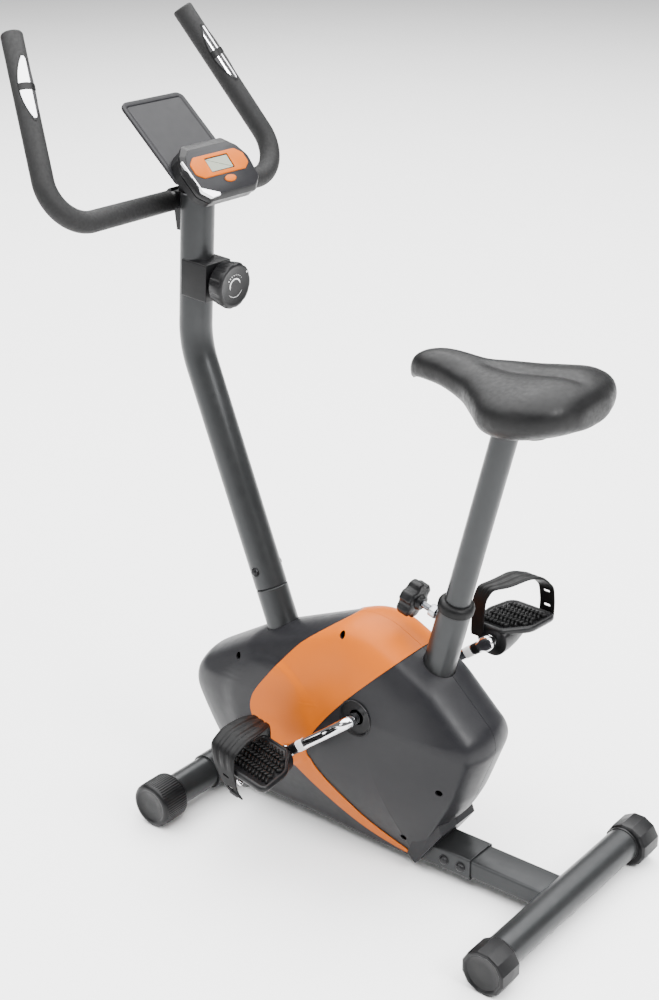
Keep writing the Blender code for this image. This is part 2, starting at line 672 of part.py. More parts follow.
def make_axle():
    reach = CRANK_HUB_Y + CRANK_THICKNESS / 2.0
    ends = [CRANK - SIDE * reach, CRANK + SIDE * reach]
    add_rings("crank_axle", path_rings(ends, AXLE_RADIUS, 16), "steel", origin=CRANK)
    hub = AXLE_RADIUS + GAP
    half = 0.0050
    profile = [(hub, -half), (0.0250, -half), (0.0280, -0.0020), (PULLEY_RADIUS - 0.014, -0.0020),
               (PULLEY_RADIUS - 0.010, -half), (PULLEY_RADIUS, -half),
               (PULLEY_RADIUS, half), (PULLEY_RADIUS - 0.010, half),
               (PULLEY_RADIUS - 0.014, 0.0020), (0.0280, 0.0020), (0.0250, half), (hub, half)]
    add_turned("drive_pulley", profile, CRANK + SIDE * PULLEY_Y, SIDE, "black_plastic", 32,
               looped=True, origin=CRANK + SIDE * PULLEY_Y)


def make_belt():
    """Flat belt round the crank pulley and the flywheel's small pulley."""
    start = Vector((CRANK.x, CRANK.z))
    end = Vector((FLYWHEEL.x, FLYWHEEL.z))
    span = end - start
    heading = math.atan2(span.y, span.x)

    def loop(offset):
        points = []
        for u, v in capsule(span.length, PULLEY_RADIUS + offset,
                            FLYWHEEL_PULLEY_RADIUS + offset, 20):
            points.append((start.x + u * math.cos(heading) - v * math.sin(heading),
                           start.y + u * math.sin(heading) + v * math.cos(heading)))
        return points

    def place(u, v, side):
        return Vector((u, PULLEY_Y + (0.0042 if side else -0.0042), v))

    add_prism("drive_belt", loop(0.0030), place, "black_rubber", hole=loop(0.0012))


def make_flywheel():
    bore = 0.0052
    low = PULLEY_Y - 0.0045
    high = PULLEY_Y + 0.0045
    disc = high + 0.0025
    profile = [(bore, low), (FLYWHEEL_PULLEY_RADIUS, low), (FLYWHEEL_PULLEY_RADIUS, high),
               (0.0120, high + 0.0006), (0.0120, disc), (FLYWHEEL_RADIUS - 0.018, disc),
               (FLYWHEEL_RADIUS - 0.016, disc - 0.001), (FLYWHEEL_RADIUS, disc - 0.001),
               (FLYWHEEL_RADIUS, disc + 0.012), (FLYWHEEL_RADIUS - 0.016, disc + 0.012),
               (FLYWHEEL_RADIUS - 0.018, disc + 0.009), (0.0160, disc + 0.009),
               (0.0150, disc + 0.012), (bore, disc + 0.012)]
    add_turned("flywheel", profile, FLYWHEEL, SIDE, "steel", 36, looped=True, origin=FLYWHEEL)

    foot = POST_RADIUS + GAP
    axle = [(0.0020, foot), (0.0100, foot), (0.0100, foot + 0.0030), (0.0048, foot + 0.0040),
            (0.0048, disc + 0.0150), (0.0015, disc + 0.0155)]
    add_turned("flywheel_axle", axle, FLYWHEEL, SIDE, "steel", 12)


def make_magnet_bracket():
    """Curved arm with magnets that swings towards the flywheel's rim."""
    inner = FLYWHEEL_RADIUS + 0.0040
    outer = inner + 0.0080
    first, last, steps = 62.0, 124.0, 8
    angles = [math.radians(first + (last - first) * step / steps) for step in range(steps + 1)]
    outline = [(outer * math.cos(a), outer * math.sin(a)) for a in angles]
    outline += [(inner * math.cos(a), inner * math.sin(a)) for a in reversed(angles)]
    pivot_angle = math.radians(first)
    pivot = FLYWHEEL + Vector(((inner + outer) / 2.0 * math.cos(pivot_angle), 0.0,
                               (inner + outer) / 2.0 * math.sin(pivot_angle)))

    def place(u, v, side):
        return Vector((FLYWHEEL.x + u, PULLEY_Y + (0.0170 if side else 0.0070), FLYWHEEL.z + v))

    add_prism("magnet_bracket", outline, place, "steel", origin=pivot)
    return pivot


def make_pedal(name, eye, side, tilt, strap):
    """Foot platform on its spindle, with a strap that arches over the foot.

    Points of the pedal are (forward, outward, up) from the middle of the crank's eye.
    """
    spindle_axis = SIDE * side
    half = CRANK_THICKNESS / 2.0 + GAP
    centre = Vector((eye.x, side * CRANK_EYE_Y, eye.z))
    spindle = [(0.0010, half), (0.0075, half), (0.0075, half + 0.0035), (0.0050, half + 0.0040),
               (0.0050, 0.1020), (0.0010, 0.1025)]
    add_turned(f"{name}_spindle", spindle, centre, spindle_axis, "chrome", 12, origin=centre)

    turn = Matrix.Rotation(math.radians(-tilt), 3, "Y")

    def spot(forward, outward, up):
        return centre + turn @ Vector((forward, 0.0, up)) + spindle_axis * outward

    plan = [(point.x, point.y) for point in rounded(
        [(Vector((-0.014, PEDAL_INNER)), 0.010), (Vector((-0.045, 0.050)), 0.035),
         (Vector((-0.050, PEDAL_OUTER)), 0.012), (Vector((0.030, PEDAL_OUTER)), 0.020),
         (Vector((0.042, 0.060)), 0.040), (Vector((0.036, PEDAL_INNER)), 0.010)], 3)]
    bottom = [spot(forward, outward, PEDAL_BOTTOM) for forward, outward in plan]
    top = [spot(forward, outward, PEDAL_TOP) for forward, outward in plan]
    pedal = add_rings(name, [bottom, top], "black_plastic", origin=centre)
    barrel_ends = [centre + spindle_axis * PEDAL_INNER, centre + spindle_axis * 0.0980]
    cut(pedal, add_cutter(f"cutter_{name}_barrel", path_rings(barrel_ends, PEDAL_BARREL, 20)),
        "UNION")
    drill_ends = [centre, centre + spindle_axis * 0.1200]
    cut(pedal, add_cutter(f"cutter_{name}_bore", path_rings(drill_ends, 0.0053, 12)))

    route = []
    for start, end in zip(strap, strap[1:]):
        route += [start.lerp(end, step / 3.0) for step in range(3)]
    route.append(strap[-1])
    for _ in range(3):
        inner = [(route[i - 1] + route[i] * 2.0 + route[i + 1]) / 4.0
                 for i in range(1, len(route) - 1)]
        route = [route[0]] + inner + [route[-1]]
    rings = []
    for index, station in enumerate(route):
        before = route[max(index - 1, 0)]
        after = route[min(index + 1, len(route) - 1)]
        lift = Vector((after.z - before.z, before.y - after.y)).normalized() * STRAP_THICKNESS / 2.0
        width = station.w / 2.0
        rings.append([spot(station.x + forward, station.y + side_step, station.z + up)
                      for forward, side_step, up in ((width, -lift.x, -lift.y),
                                                     (-width, -lift.x, -lift.y),
                                                     (-width, lift.x, lift.y),
                                                     (width, lift.x, lift.y))])
    add_rings(f"{name}_strap", rings, "black_rubber", origin=centre)


# ---------------------------------------------------------------- housing

def housing_outline():
    """Side view of the housing, as (x, z) points round the crank."""
    corners = [(Vector((0.1640, 0.0195)), 0.014), (Vector((0.2560, 0.2110)), 0.045),
               (Vector((0.1300, 0.2870)), 0.150), (Vector((-0.0770, 0.3750)), 0.090),
               (Vector((-0.1930, 0.3180)), 0.120), (Vector((-0.2750, 0.2410)), 0.032),
               (Vector((-0.2400, 0.1490)), 0.120), (Vector((-0.1720, 0.0195)), 0.014)]
    arcs = rounded(corners, 3)
    points = []
    spacing = 0.045
    for index, point in enumerate(arcs):
        after = arcs[(index + 1) % len(arcs)]
        pieces = max(1, round((after - point).length / spacing))
        points += [point.lerp(after, piece / pieces) for piece in range(pieces)]
    return points


def outline_normals(points):
    normals = []
    for index, point in enumerate(points):
        along = points[(index + 1) % len(points)] - points[index - 1]
        outward = Vector((along.y, -along.x)).normalized()
        middle = Vector((CRANK.x, CRANK.z))
        normals.append(outward if outward.dot(point - middle) > 0 else -outward)
    return normals


def taper(z):
    """0 at the foot of the housing, rising to 1 where its sides reach their full width."""
    share = min(max((z - TAPER_BOTTOM) / TAPER_HEIGHT, 0.0), 1.0)
    return math.sin(share * math.pi / 2.0)


def housing_half_width(z, inset):
    edge = EDGE_LOW + (EDGE_HIGH - EDGE_LOW) * taper(z)
    middle = EDGE_LOW + (MIDDLE_HIGH - EDGE_LOW) * taper(z)
    return edge + (middle - edge) * (1.0 - math.exp(-inset / BULGE_REACH))


def housing_rings(lift):
    """Rings of the left skin from the centre seam, over the edge, to the crank hole."""
    outline = housing_outline()
    normals = outline_normals(outline)
    centre = Vector((CRANK.x, CRANK.z))
    rings = []
    for share in (0.0, 0.45, 0.85):
        ring = []
        for point, normal in zip(outline, normals):
            edge = housing_half_width(point.y, 0.0)
            crown = CROWN * (1.0 - share * share) * min(max((point.y - 0.060) / 0.060, 0.0), 1.0)
            spot = point + normal * (crown + lift)
            y = max(edge * share, SEAM_HALF_GAP) + (lift * share)
            ring.append(Vector((spot.x, y, spot.y)))
        rings.append(ring)
    for inset in (0.0025, RIM_INSET):
        ring = []
        for point, normal in zip(outline, normals):
            spot = point - normal * (inset - lift * 0.5)
            ring.append(Vector((spot.x, housing_half_width(spot.y, inset) + lift * 0.85, spot.y)))
        rings.append(ring)
    for share in (0.25, 0.60, 1.0):
        ring = []
        for point, normal in zip(outline, normals):
            rim = point - normal * RIM_INSET
            hole = centre + (point - centre).normalized() * CRANK_HOLE_RADIUS
            spot = rim.lerp(hole, share)
            inset = RIM_INSET + (hole - rim).length * share
            ring.append(Vector((spot.x, housing_half_width(spot.y, inset) + lift, spot.y)))
        rings.append(ring)
    return rings


def mirrored(rings, side):
    return [[Vector((point.x, side * point.y, point.z)) for point in ring] for ring in rings]


# Side view of the orange band: its front edge downwards, then its rear edge upwards
BAND_FRONT = ((-0.0800, 0.4010), (0.0140, 0.3360), (0.0426, 0.3047), (0.0746, 0.2627),
              (0.1010, 0.2279), (0.1098, 0.2041), (0.1066, 0.1845), (0.0950, 0.1712),
              (0.0697, 0.1525), (0.0407, 0.1301), (0.0232, 0.1131), (-0.0250, 0.0740),
              (-0.0720, 0.0430), (-0.1220, 0.0285), (-0.1640, 0.0230))
BAND_REAR = ((-0.1560, 0.0315), (-0.1191, 0.0470), (-0.0879, 0.0640), (-0.0598, 0.0880),
             (-0.0269, 0.1159), (-0.0049, 0.1401), (0.0035, 0.1600), (-0.0087, 0.1934),
             (-0.0415, 0.2355), (-0.0773, 0.2753), (-0.1133, 0.3114), (-0.1478, 0.3451),
             (-0.1960, 0.3960))


def make_housing(side):
    word = "left" if side > 0 else "right"
    skin = mirrored(housing_rings(0.0), side)
    lining = mirrored(housing_rings(-SHELL_WALL), side)
    shell = add_rings(f"{word}_housing", skin + lining[::-1], "housing_grey", looped=True)

    foot = [[Vector((u, side * y, v)) for u, v in FOOT_OUTLINE]
            for y in (SEAM_HALF_GAP, FOOT_HALF_WIDTH)]
    cut(shell, add_cutter(f"cutter_{word}_foot", foot), "UNION")
    return shell


def make_covers():
    outline = [Vector(point) for point in BAND_FRONT + BAND_REAR]
    for side in (1, -1):
        word = "left" if side > 0 else "right"
        skin = mirrored(housing_rings(COVER_LIFT + COVER_THICKNESS), side)
        lining = mirrored(housing_rings(COVER_LIFT), side)
        cover = add_rings(f"{word}_orange_cover", skin + lining[::-1], "orange", looped=True)
        near = [Vector((point.x, -side * 0.01, point.y)) for point in outline]
        far = [Vector((point.x, side * 0.10, point.y)) for point in outline]
        trim = cut(cover, add_cutter(f"cutter_{word}_band", [near, far]), "INTERSECT")
        trim.solver = "MANIFOLD"


def make_housing_openings(shells):
    beam_room = box_rings(Vector((-0.30, -0.0297, 0.0)), Vector((0.30, 0.0297, 0.0535)))
    beam_cutter = add_cutter("cutter_beam_room", beam_room)
    post_ends = [at_height(POST_LOWER_POINT, POST_LOWER_AXIS, height) for height in (0.20, 0.36)]
    post_cutter = add_cutter("cutter_post_room", path_rings(post_ends, POST_RADIUS + 0.0010, 24))
    seat_ends = [at_height(SEAT_POINT, SEAT_AXIS, height) for height in (0.22, 0.40)]
    seat_rings = path_rings(seat_ends, SEAT_TUBE_RADIUS + 0.0010, 24)
    seat_cutter = add_cutter("cutter_seat_room", seat_rings)
    for shell in shells:
        for cutter in (beam_cutter, post_cutter, seat_cutter):
            cut(shell, cutter)


# ---------------------------------------------------------------- handlebar and console

def make_handlebar():
    corner_right = Vector((BAR_CORNER.x, -BAR_CORNER.y, BAR_CORNER.z))
    end_right = Vector((BAR_END.x, -BAR_END.y, BAR_END.z))
    inset = (BAR_END - BAR_CORNER).normalized() * 0.004
    inset_right = Vector((inset.x, -inset.y, inset.z))
    path = rounded([(BAR_END - inset, 0.0), (BAR_CORNER, BAR_BEND_RADIUS),
                    (corner_right, BAR_BEND_RADIUS), (end_right - inset_right, 0.0)],
                   7, closed=False)
    add_tube("handlebar", path, HANDLEBAR_RADIUS, HANDLEBAR_RADIUS - TUBE_WALL, "powder_coat",
             16, origin=BAR_CENTRE)
    for word, side in (("left", 1.0), ("right", -1.0)):
        end = Vector((BAR_END.x, side * BAR_END.y, BAR_END.z))
        corner = Vector((BAR_CORNER.x, side * BAR_CORNER.y, BAR_CORNER.z))
        stop = Vector((BAR_CORNER.x, side * 0.019, BAR_CORNER.z))
        along = (end - corner).normalized()
        route = rounded([(end, 0.0), (corner, BAR_BEND_RADIUS), (stop, 0.0)], 7, closed=False)
        outer = path_rings(route, GRIP_RADIUS, 16)
        inner = path_rings([end - along * 0.0035] + route[1:], HANDLEBAR_RADIUS + GAP, 16)
        add_rings(f"{word}_grip", outer[::-1] + inner, "foam", origin=end)


def make_handlebar_clamp():
    """A bracket welded to the post's front, and the cap that holds the bar against it."""
    profile_back = []
    steps = 8
    hold = HANDLEBAR_RADIUS + GAP
    for step in range(steps + 1):
        turn = math.radians(95.0 + 170.0 * step / steps)
        profile_back.append((BAR_CORNER.x + hold * math.cos(turn),
                             BAR_CORNER.z + hold * math.sin(turn)))
    bottom = [(0.2800, 0.8920), (0.2560, 0.8920), (0.2560, 0.9480)]
    outline = profile_back + bottom
    half = 0.0110

    def place(u, v, side):
        return Vector((u, half if side else -half, v))

    clamp = add_prism("clamp_bracket", outline, place, "black_steel")
    ends = [at_height(POST_UPPER_POINT, POST_UPPER_AXIS, height) for height in (0.86, 0.98)]
    cut(clamp, add_cutter("cutter_clamp_post", path_rings(ends, POST_RADIUS + GAP, 24)))

    cap = []
    for step in range(steps + 1):
        turn = math.radians(-80.0 + 160.0 * step / steps)
        cap.append((BAR_CORNER.x + hold * math.cos(turn), BAR_CORNER.z + hold * math.sin(turn)))
    for step in range(steps + 1):
        turn = math.radians(80.0 - 160.0 * step / steps)
        reach = hold + CLAMP_THICKNESS
        cap.append((BAR_CORNER.x + reach * math.cos(turn), BAR_CORNER.z + reach * math.sin(turn)))
    add_prism("clamp_cap", cap, place, "black_steel")


def make_pulse_sensors():
    for word, side in (("left", 1.0), ("right", -1.0)):
        end = Vector((BAR_END.x, side * BAR_END.y, BAR_END.z))
        corner = Vector((BAR_CORNER.x, side * BAR_CORNER.y, BAR_CORNER.z))
        along = (end - corner).normalized()
        rider = Vector((-1.0, 0.0, 0.0))
        rider = (rider - along * rider.dot(along)).normalized()
        facing = Matrix.Rotation(math.radians(-side * SENSOR_TURNS[word]), 3, along) @ rider
        across = along.cross(facing)
        inner = GRIP_RADIUS + 2.0 * GAP
        outer = inner + 0.0010
        steps = 8
        rings = []
        for share in (0.0, 0.06, 0.2, 0.5, 0.8, 0.94, 1.0):
            spread = math.radians(14.0 + 40.0 * math.sin(math.pi * share) ** 0.6)
            base = end - along * (SENSOR_START + SENSOR_LENGTH * share)
            arc = [spread * (2.0 * step / steps - 1.0) for step in range(steps + 1)]
            ring = [base + facing * (outer * math.cos(a)) + across * (outer * math.sin(a))
                    for a in arc]
            ring += [base + facing * (inner * math.cos(a)) + across * (inner * math.sin(a))
                     for a in reversed(arc)]
            rings.append(ring)
        add_rings(f"{word}_pulse_sensor", rings, "chrome", origin=end)


def make_tension_control():
    """Box that hugs the rider's side of the post, and its round knob, which faces the rider."""
    middle = at_height(POST_UPPER_POINT, POST_UPPER_AXIS, TENSION_HEIGHT)
    out = Vector((-POST_UPPER_AXIS.z, 0.0, POST_UPPER_AXIS.x))
    tall = 0.0280
    outline = [(0.0060, -tall), (TENSION_DEPTH, -tall), (TENSION_DEPTH, tall), (0.0060, tall)]

    def place(u, v, side):
        half = 0.0260 if side else -0.0260
        return middle + out * u + POST_UPPER_AXIS * v + SIDE * half

    bracket = add_prism("tension_bracket", outline, place, "black_plastic")
    ends = [middle - POST_UPPER_AXIS * 0.05, middle + POST_UPPER_AXIS * 0.05]
    cut(bracket, add_cutter("cutter_tension_post", path_rings(ends, POST_RADIUS + GAP, 24)))

    face = middle + out * (TENSION_DEPTH + GAP)
    profile = [(0.0120, 0.0), (0.0120, 0.0080), (0.0290, 0.0085), (0.0315, 0.0100),
               (0.0345, 0.0280), (0.0330, 0.0315), (0.0290, 0.0330), (0.0060, 0.0325)]
    add_turned("tension_knob", profile, face, out, "black_plastic", 32, origin=face)


def sloped_axes(degrees):
    """Axes of a face that slopes up and away from the rider: up along it, and out of it."""
    slope = math.radians(degrees)
    up = Vector((math.cos(slope), 0.0, math.sin(slope)))
    return up, Vector((-up.z, 0.0, up.x))


def plate_axes():
    rise = PLATE_TOP - PLATE_BOTTOM
    return sloped_axes(math.degrees(math.atan2(rise.z, rise.x)))


def slab(name, outline, base, axes, low, high, finish, hole=None, **options):
    """Extrude an outline of (side, up) pairs between two depths out of a sloped face."""
    up, out = axes

    def place(u, v, side):
        return base + SIDE * u + up * v + out * (high if side else low)

    return add_prism(name, outline, place, finish, hole=hole, **options)


def outline_pairs(corners, steps=3):
    return [(point.x, point.y) for point in rounded([(Vector(p), r) for p, r in corners], steps)]


def mirror_pairs(corners):
    """Complete a list of (side, up, radius) corners with its mirror image."""
    left = [((side, up), radius) for side, up, radius in corners]
    return left + [((-point[0], point[1]), radius) for point, radius in reversed(left)]


def make_console():
    length = (PLATE_TOP - PLATE_BOTTOM).length
    half = PLATE_HALF_WIDTH
    plate_up, plate_out = plate_axes()
    plate = outline_pairs(mirror_pairs([(half, 0.0, 0.006), (half - 0.001, length, 0.012)]))
    slab("device_holder", plate, PLATE_BOTTOM, (plate_up, plate_out), -PLATE_THICKNESS, 0.0,
         "housing_grey")

    face_axes = sloped_axes(FACE_SLOPE)
    up, out = face_axes
    wide = mirror_pairs([(0.046, -0.008, 0.010), (0.062, 0.006, 0.012), (0.065, 0.045, 0.015),
                         (0.054, 0.068, 0.012), (0.036, 0.080, 0.010)])
    narrow = mirror_pairs([(0.044, -0.004, 0.010), (0.060, 0.008, 0.012), (0.063, 0.044, 0.015),
                           (0.053, 0.060, 0.010), (0.038, 0.066, 0.008)])
    top = [FACE_BOTTOM + SIDE * u + up * v for u, v in outline_pairs(narrow)]
    edge = [FACE_BOTTOM + SIDE * u + up * v - out * 0.006 for u, v in outline_pairs(wide)]
    foot = []
    for point in edge:
        height = (point - PLATE_BOTTOM).dot(plate_out) - GAP
        foot.append(point - out * (height / out.dot(plate_out)))
    console = add_rings("console_body", [foot, edge, top], "black_plastic")

    bezel = outline_pairs(mirror_pairs([(0.0420, 0.0240, 0.006), (0.0540, 0.0320, 0.006),
                                        (0.0540, 0.0480, 0.006), (0.0420, 0.0580, 0.006)]), 3)
    window = [(u, v + 0.041) for u, v in rounded_box(0.0235, 0.0115, 0.0010, 2)]
    slab("console_bezel", bezel, FACE_BOTTOM, face_axes, GAP, 0.0018, "orange",
         hole=resample(window, len(bezel), bezel[0]))
    screen = [(u * 0.98, 0.041 + (v - 0.041) * 0.98) for u, v in window]
    slab("console_screen", screen, FACE_BOTTOM, face_axes, GAP, 0.0008, "screen")

    seat = FACE_BOTTOM + SIDE * -0.0040 + up * 0.0155
    oval = [(0.0110 * math.cos(math.radians(turn)), 0.0055 * math.sin(math.radians(turn)))
            for turn in range(0, 360, 20)]
    wider = [(u * 1.05, v * 1.08) for u, v in oval]
    pocket = slab("cutter_button_pocket", wider, seat, face_axes, -0.0040, 0.0050, "steel")
    pocket.hide_render = True
    pocket.display_type = "WIRE"
    cut(console, pocket)
    slab("console_button", oval, seat, face_axes, -0.0018, 0.0018, "orange", origin=seat)

    floor = POST_TOP_HEIGHT + GAP
    under = PLATE_BOTTOM - plate_out * (PLATE_THICKNESS + GAP)
    slope = plate_up.z / plate_up.x

    def place(u, v, side):
        return Vector((u, 0.0180 if side else -0.0180, v))

    stay = [(x, under.z + (x - under.x) * slope) for x in (0.2260, 0.2660)]
    add_prism("console_bracket", [(0.2260, floor), (0.2660, floor), stay[1], stay[0]], place,
              "black_steel")


def make_screws(shell):
    """Screw holes in the left shell, with screws at the bottom of the upper ones."""
    for index, place in enumerate(SCREW_PLACES, start=1):
        inward = Vector((place.x, 0.015, place.z))
        outward = Vector((place.x, 0.090, place.z))
        cut(shell, add_cutter(f"cutter_screw_{index}", path_rings([inward, outward], 0.0055, 12)))
        if index > SCREW_COUNT:
            continue
        head = place.y - 0.0060
        profile = [(0.0010, head), (0.0045, head - 0.0010), (0.0045, head - 0.0030),
                   (0.0018, head - 0.0035), (0.0018, 0.0020)]
        axis = Vector((place.x, 0.0, place.z))
        add_turned(f"housing_screw_{index}", profile, axis, SIDE, "black_steel", 12)


def resample(points, count, first):
    """Points of a convex loop that face the same way as a ring of count points."""
    total = len(points)
    start = min(range(total), key=lambda i: (points[i][0] - first[0]) ** 2
                + (points[i][1] - first[1]) ** 2)
    ordered = [points[(start + i) % total] for i in range(total)]
    result = []
    for index in range(count):
        place = index * total / count
        low = int(place)
        share = place - low
        a = ordered[low % total]
        b = ordered[(low + 1) % total]
        result.append((a[0] + (b[0] - a[0]) * share, a[1] + (b[1] - a[1]) * share))
    return result


# ---------------------------------------------------------------- the whole bike

def main():
    clear_scene()
    make_beam()
    make_stabilizers()
    make_front_saddle()
    for word, side in (("left", 1), ("right", -1)):
        make_level_cap(f"{word}_level_cap", side)
        make_roller_cap(f"{word}_roller_cap", side)
    make_post()
    tube, bushing = make_seat_tube()
    make_seat_knob(tube, bushing)
    make_seat_post()
    make_saddle()
    make_crank_shell()
    make_axle()
    make_belt()
    make_flywheel()
    make_magnet_bracket()
    for word, side, tilt, strap in (("left", 1, LEFT_PEDAL_TILT, LEFT_STRAP),
                                    ("right", -1, RIGHT_PEDAL_TILT, RIGHT_STRAP)):
        eye = make_crank_arm(f"{word}_crank", side)
        make_pedal(f"{word}_pedal", eye, side, tilt, strap)
    shells = [make_housing(1), make_housing(-1)]
    make_housing_openings(shells)
    make_screws(shells[0])
    make_covers()
    make_handlebar()
    make_handlebar_clamp()
    make_pulse_sensors()
    make_tension_control()
    make_console()


main()
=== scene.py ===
"""The looks of the exercise bike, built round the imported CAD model.

Lengths are in metres. +X points to the handlebar, +Y to the rider's left and +Z up.
"""

import json
import math
from bisect import bisect_right

import bmesh
import bpy
from mathutils import Matrix, Vector
from mathutils.noise import noise


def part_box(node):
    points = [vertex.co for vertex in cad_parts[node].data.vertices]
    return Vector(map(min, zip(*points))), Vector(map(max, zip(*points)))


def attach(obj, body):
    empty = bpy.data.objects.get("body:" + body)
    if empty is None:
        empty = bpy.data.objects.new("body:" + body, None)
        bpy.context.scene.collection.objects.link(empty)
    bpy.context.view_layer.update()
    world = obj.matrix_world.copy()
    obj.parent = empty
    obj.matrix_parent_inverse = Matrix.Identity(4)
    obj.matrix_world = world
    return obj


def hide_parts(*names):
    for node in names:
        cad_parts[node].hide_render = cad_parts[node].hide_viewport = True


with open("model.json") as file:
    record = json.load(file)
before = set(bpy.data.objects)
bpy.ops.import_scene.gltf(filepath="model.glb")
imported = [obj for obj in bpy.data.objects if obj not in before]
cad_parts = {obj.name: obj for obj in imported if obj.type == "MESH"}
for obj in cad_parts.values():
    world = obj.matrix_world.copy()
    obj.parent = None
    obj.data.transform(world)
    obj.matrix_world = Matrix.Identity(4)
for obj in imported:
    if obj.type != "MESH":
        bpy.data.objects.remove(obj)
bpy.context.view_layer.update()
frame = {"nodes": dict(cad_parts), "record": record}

AHEAD = Vector((1.0, 0.0, 0.0))
SIDE = Vector((0.0, 1.0, 0.0))
LEVEL = Vector((0.0, 0.0, 1.0))
SIDES = (("left", 1), ("right", -1))
# Gap between two pieces that only just clear each other
GAP = 0.0003
TUBE_WALL = 0.0020


# ---------------------------------------------------------------- materials

def new_material(name):
    """A Principled material, its nodes, and the object's own coordinates in metres."""
    material = bpy.data.materials.new(name)
    material.use_nodes = True
    tree = material.node_tree
    place = tree.nodes.new("ShaderNodeTexCoord").outputs["Object"]
    return material, tree, tree.nodes["Principled BSDF"], place


def add_noise(tree, place, size, detail=3.0):
    """Noise whose blotches are about size metres across."""
    node = tree.nodes.new("ShaderNodeTexNoise")
    node.inputs["Scale"].default_value = 1.0 / size
    node.inputs["Detail"].default_value = detail
    tree.links.new(place, node.inputs["Vector"])
    return node.outputs["Fac"]


def add_ramp(tree, source, low, high, start=0.3, end=0.7):
    """Map a 0 to 1 signal onto the range from low to high."""
    node = tree.nodes.new("ShaderNodeMapRange")
    node.inputs["From Min"].default_value = start
    node.inputs["From Max"].default_value = end
    node.inputs["To Min"].default_value = low
    node.inputs["To Max"].default_value = high
    tree.links.new(source, node.inputs["Value"])
    return node.outputs["Result"]


def add_tint(tree, source, low, high):
    """Blend between two colours with a 0 to 1 signal."""
    node = tree.nodes.new("ShaderNodeMix")
    node.data_type = "RGBA"
    node.inputs[6].default_value = (*low, 1.0)
    node.inputs[7].default_value = (*high, 1.0)
    tree.links.new(source, node.inputs[0])
    return node.outputs[2]


def add_bump(tree, source, depth, strength=1.0, below=None):
    node = tree.nodes.new("ShaderNodeBump")
    node.inputs["Strength"].default_value = strength
    node.inputs["Distance"].default_value = depth
    tree.links.new(source, node.inputs["Height"])
    if below is not None:
        tree.links.new(below, node.inputs["Normal"])
    return node.outputs["Normal"]


def surface(name, colour, roughness, metallic=0.0, spread=0.10, uneven=0.05, grain=0.0006,
            depth=0.00004, wave=0.0, shine=0.5):
    """A moulded, painted or plated surface: mottled colour, uneven gloss and a fine grain.

    spread is how far the colour varies and uneven how far the roughness does. grain is the
    size of the fine bumps and depth their height, 0 for none. wave is the height of a slow
    waviness, and shine the strength of the plain reflection.
    """
    material, tree, shader, place = new_material(name)
    blotches = add_noise(tree, place, 0.045)
    darker = [channel * (1.0 - spread) for channel in colour]
    lighter = [channel * (1.0 + spread) for channel in colour]
    tree.links.new(add_tint(tree, blotches, darker, lighter), shader.inputs["Base Color"])
    scuffs = add_noise(tree, place, 0.012, 6.0)
    rough = add_ramp(tree, scuffs, roughness - uneven, roughness + uneven)
    tree.links.new(rough, shader.inputs["Roughness"])
    shader.inputs["Metallic"].default_value = metallic
    shader.inputs["Specular IOR Level"].default_value = shine
    if depth:
        grains = add_bump(tree, add_noise(tree, place, grain, 2.0), depth)
        tree.links.new(grains, shader.inputs["Normal"])
    if wave:
        waves = add_bump(tree, add_noise(tree, place, 0.060, 0.0), wave)
        tree.links.new(waves, shader.inputs["Normal"])
    return material


def leather(name):
    """Black synthetic leather: small pebbles between fine creases, with a soft sheen."""
    material, tree, shader, place = new_material(name)
    cells = tree.nodes.new("ShaderNodeTexVoronoi")
    cells.feature = "DISTANCE_TO_EDGE"
    cells.inputs["Scale"].default_value = 620.0
    tree.links.new(place, cells.inputs["Vector"])
    pebbles = add_ramp(tree, cells.outputs["Distance"], 0.0, 1.0, 0.0, 0.25)
    creases = add_noise(tree, place, 0.006, 5.0)
    tint = add_tint(tree, add_noise(tree, place, 0.03), (0.0040, 0.0040, 0.0042),
                    (0.0060, 0.0060, 0.0063))
    tree.links.new(tint, shader.inputs["Base Color"])
    tree.links.new(add_ramp(tree, creases, 0.36, 0.52), shader.inputs["Roughness"])
    normal = add_bump(tree, pebbles, 0.00006, 0.5)
    normal = add_bump(tree, creases, 0.00018, 0.35, normal)
    tree.links.new(normal, shader.inputs["Normal"])
    shader.inputs["Specular IOR Level"].default_value = 0.18
    return material


def foam(name):
    """Closed-cell foam tube: matt, with open pores of half a millimetre."""
    material, tree, shader, place = new_material(name)
    pores = tree.nodes.new("ShaderNodeTexVoronoi")
    pores.inputs["Scale"].default_value = 1100.0
    tree.links.new(place, pores.inputs["Vector"])
    depth = add_ramp(tree, pores.outputs["Distance"], 0.0, 1.0, 0.1, 0.5)
    tint = add_tint(tree, add_noise(tree, place, 0.02, 5.0), (0.0045, 0.0045, 0.0047),
                    (0.0080, 0.0080, 0.0083))
    tree.links.new(tint, shader.inputs["Base Color"])
    rough = add_ramp(tree, add_noise(tree, place, 0.004), 0.58, 0.74)
    tree.links.new(rough, shader.inputs["Roughness"])
    tree.links.new(add_bump(tree, depth, 0.00010, 0.6), shader.inputs["Normal"])
    shader.inputs["Specular IOR Level"].default_value = 0.28
    return material


def display(name):
    """Grey-green display: a faint grid of cells behind a clear window."""
    material, tree, shader, place = new_material(name)
    lines = tree.nodes.new("ShaderNodeTexWave")
    lines.inputs["Scale"].default_value = 260.0
    tree.links.new(place, lines.inputs["Vector"])
    tint = add_tint(tree, lines.outputs["Fac"], (0.150, 0.170, 0.120), (0.170, 0.190, 0.140))
    tree.links.new(tint, shader.inputs["Base Color"])
    rough = add_ramp(tree, add_noise(tree, place, 0.01), 0.10, 0.18)
    tree.links.new(rough, shader.inputs["Roughness"])
    return material


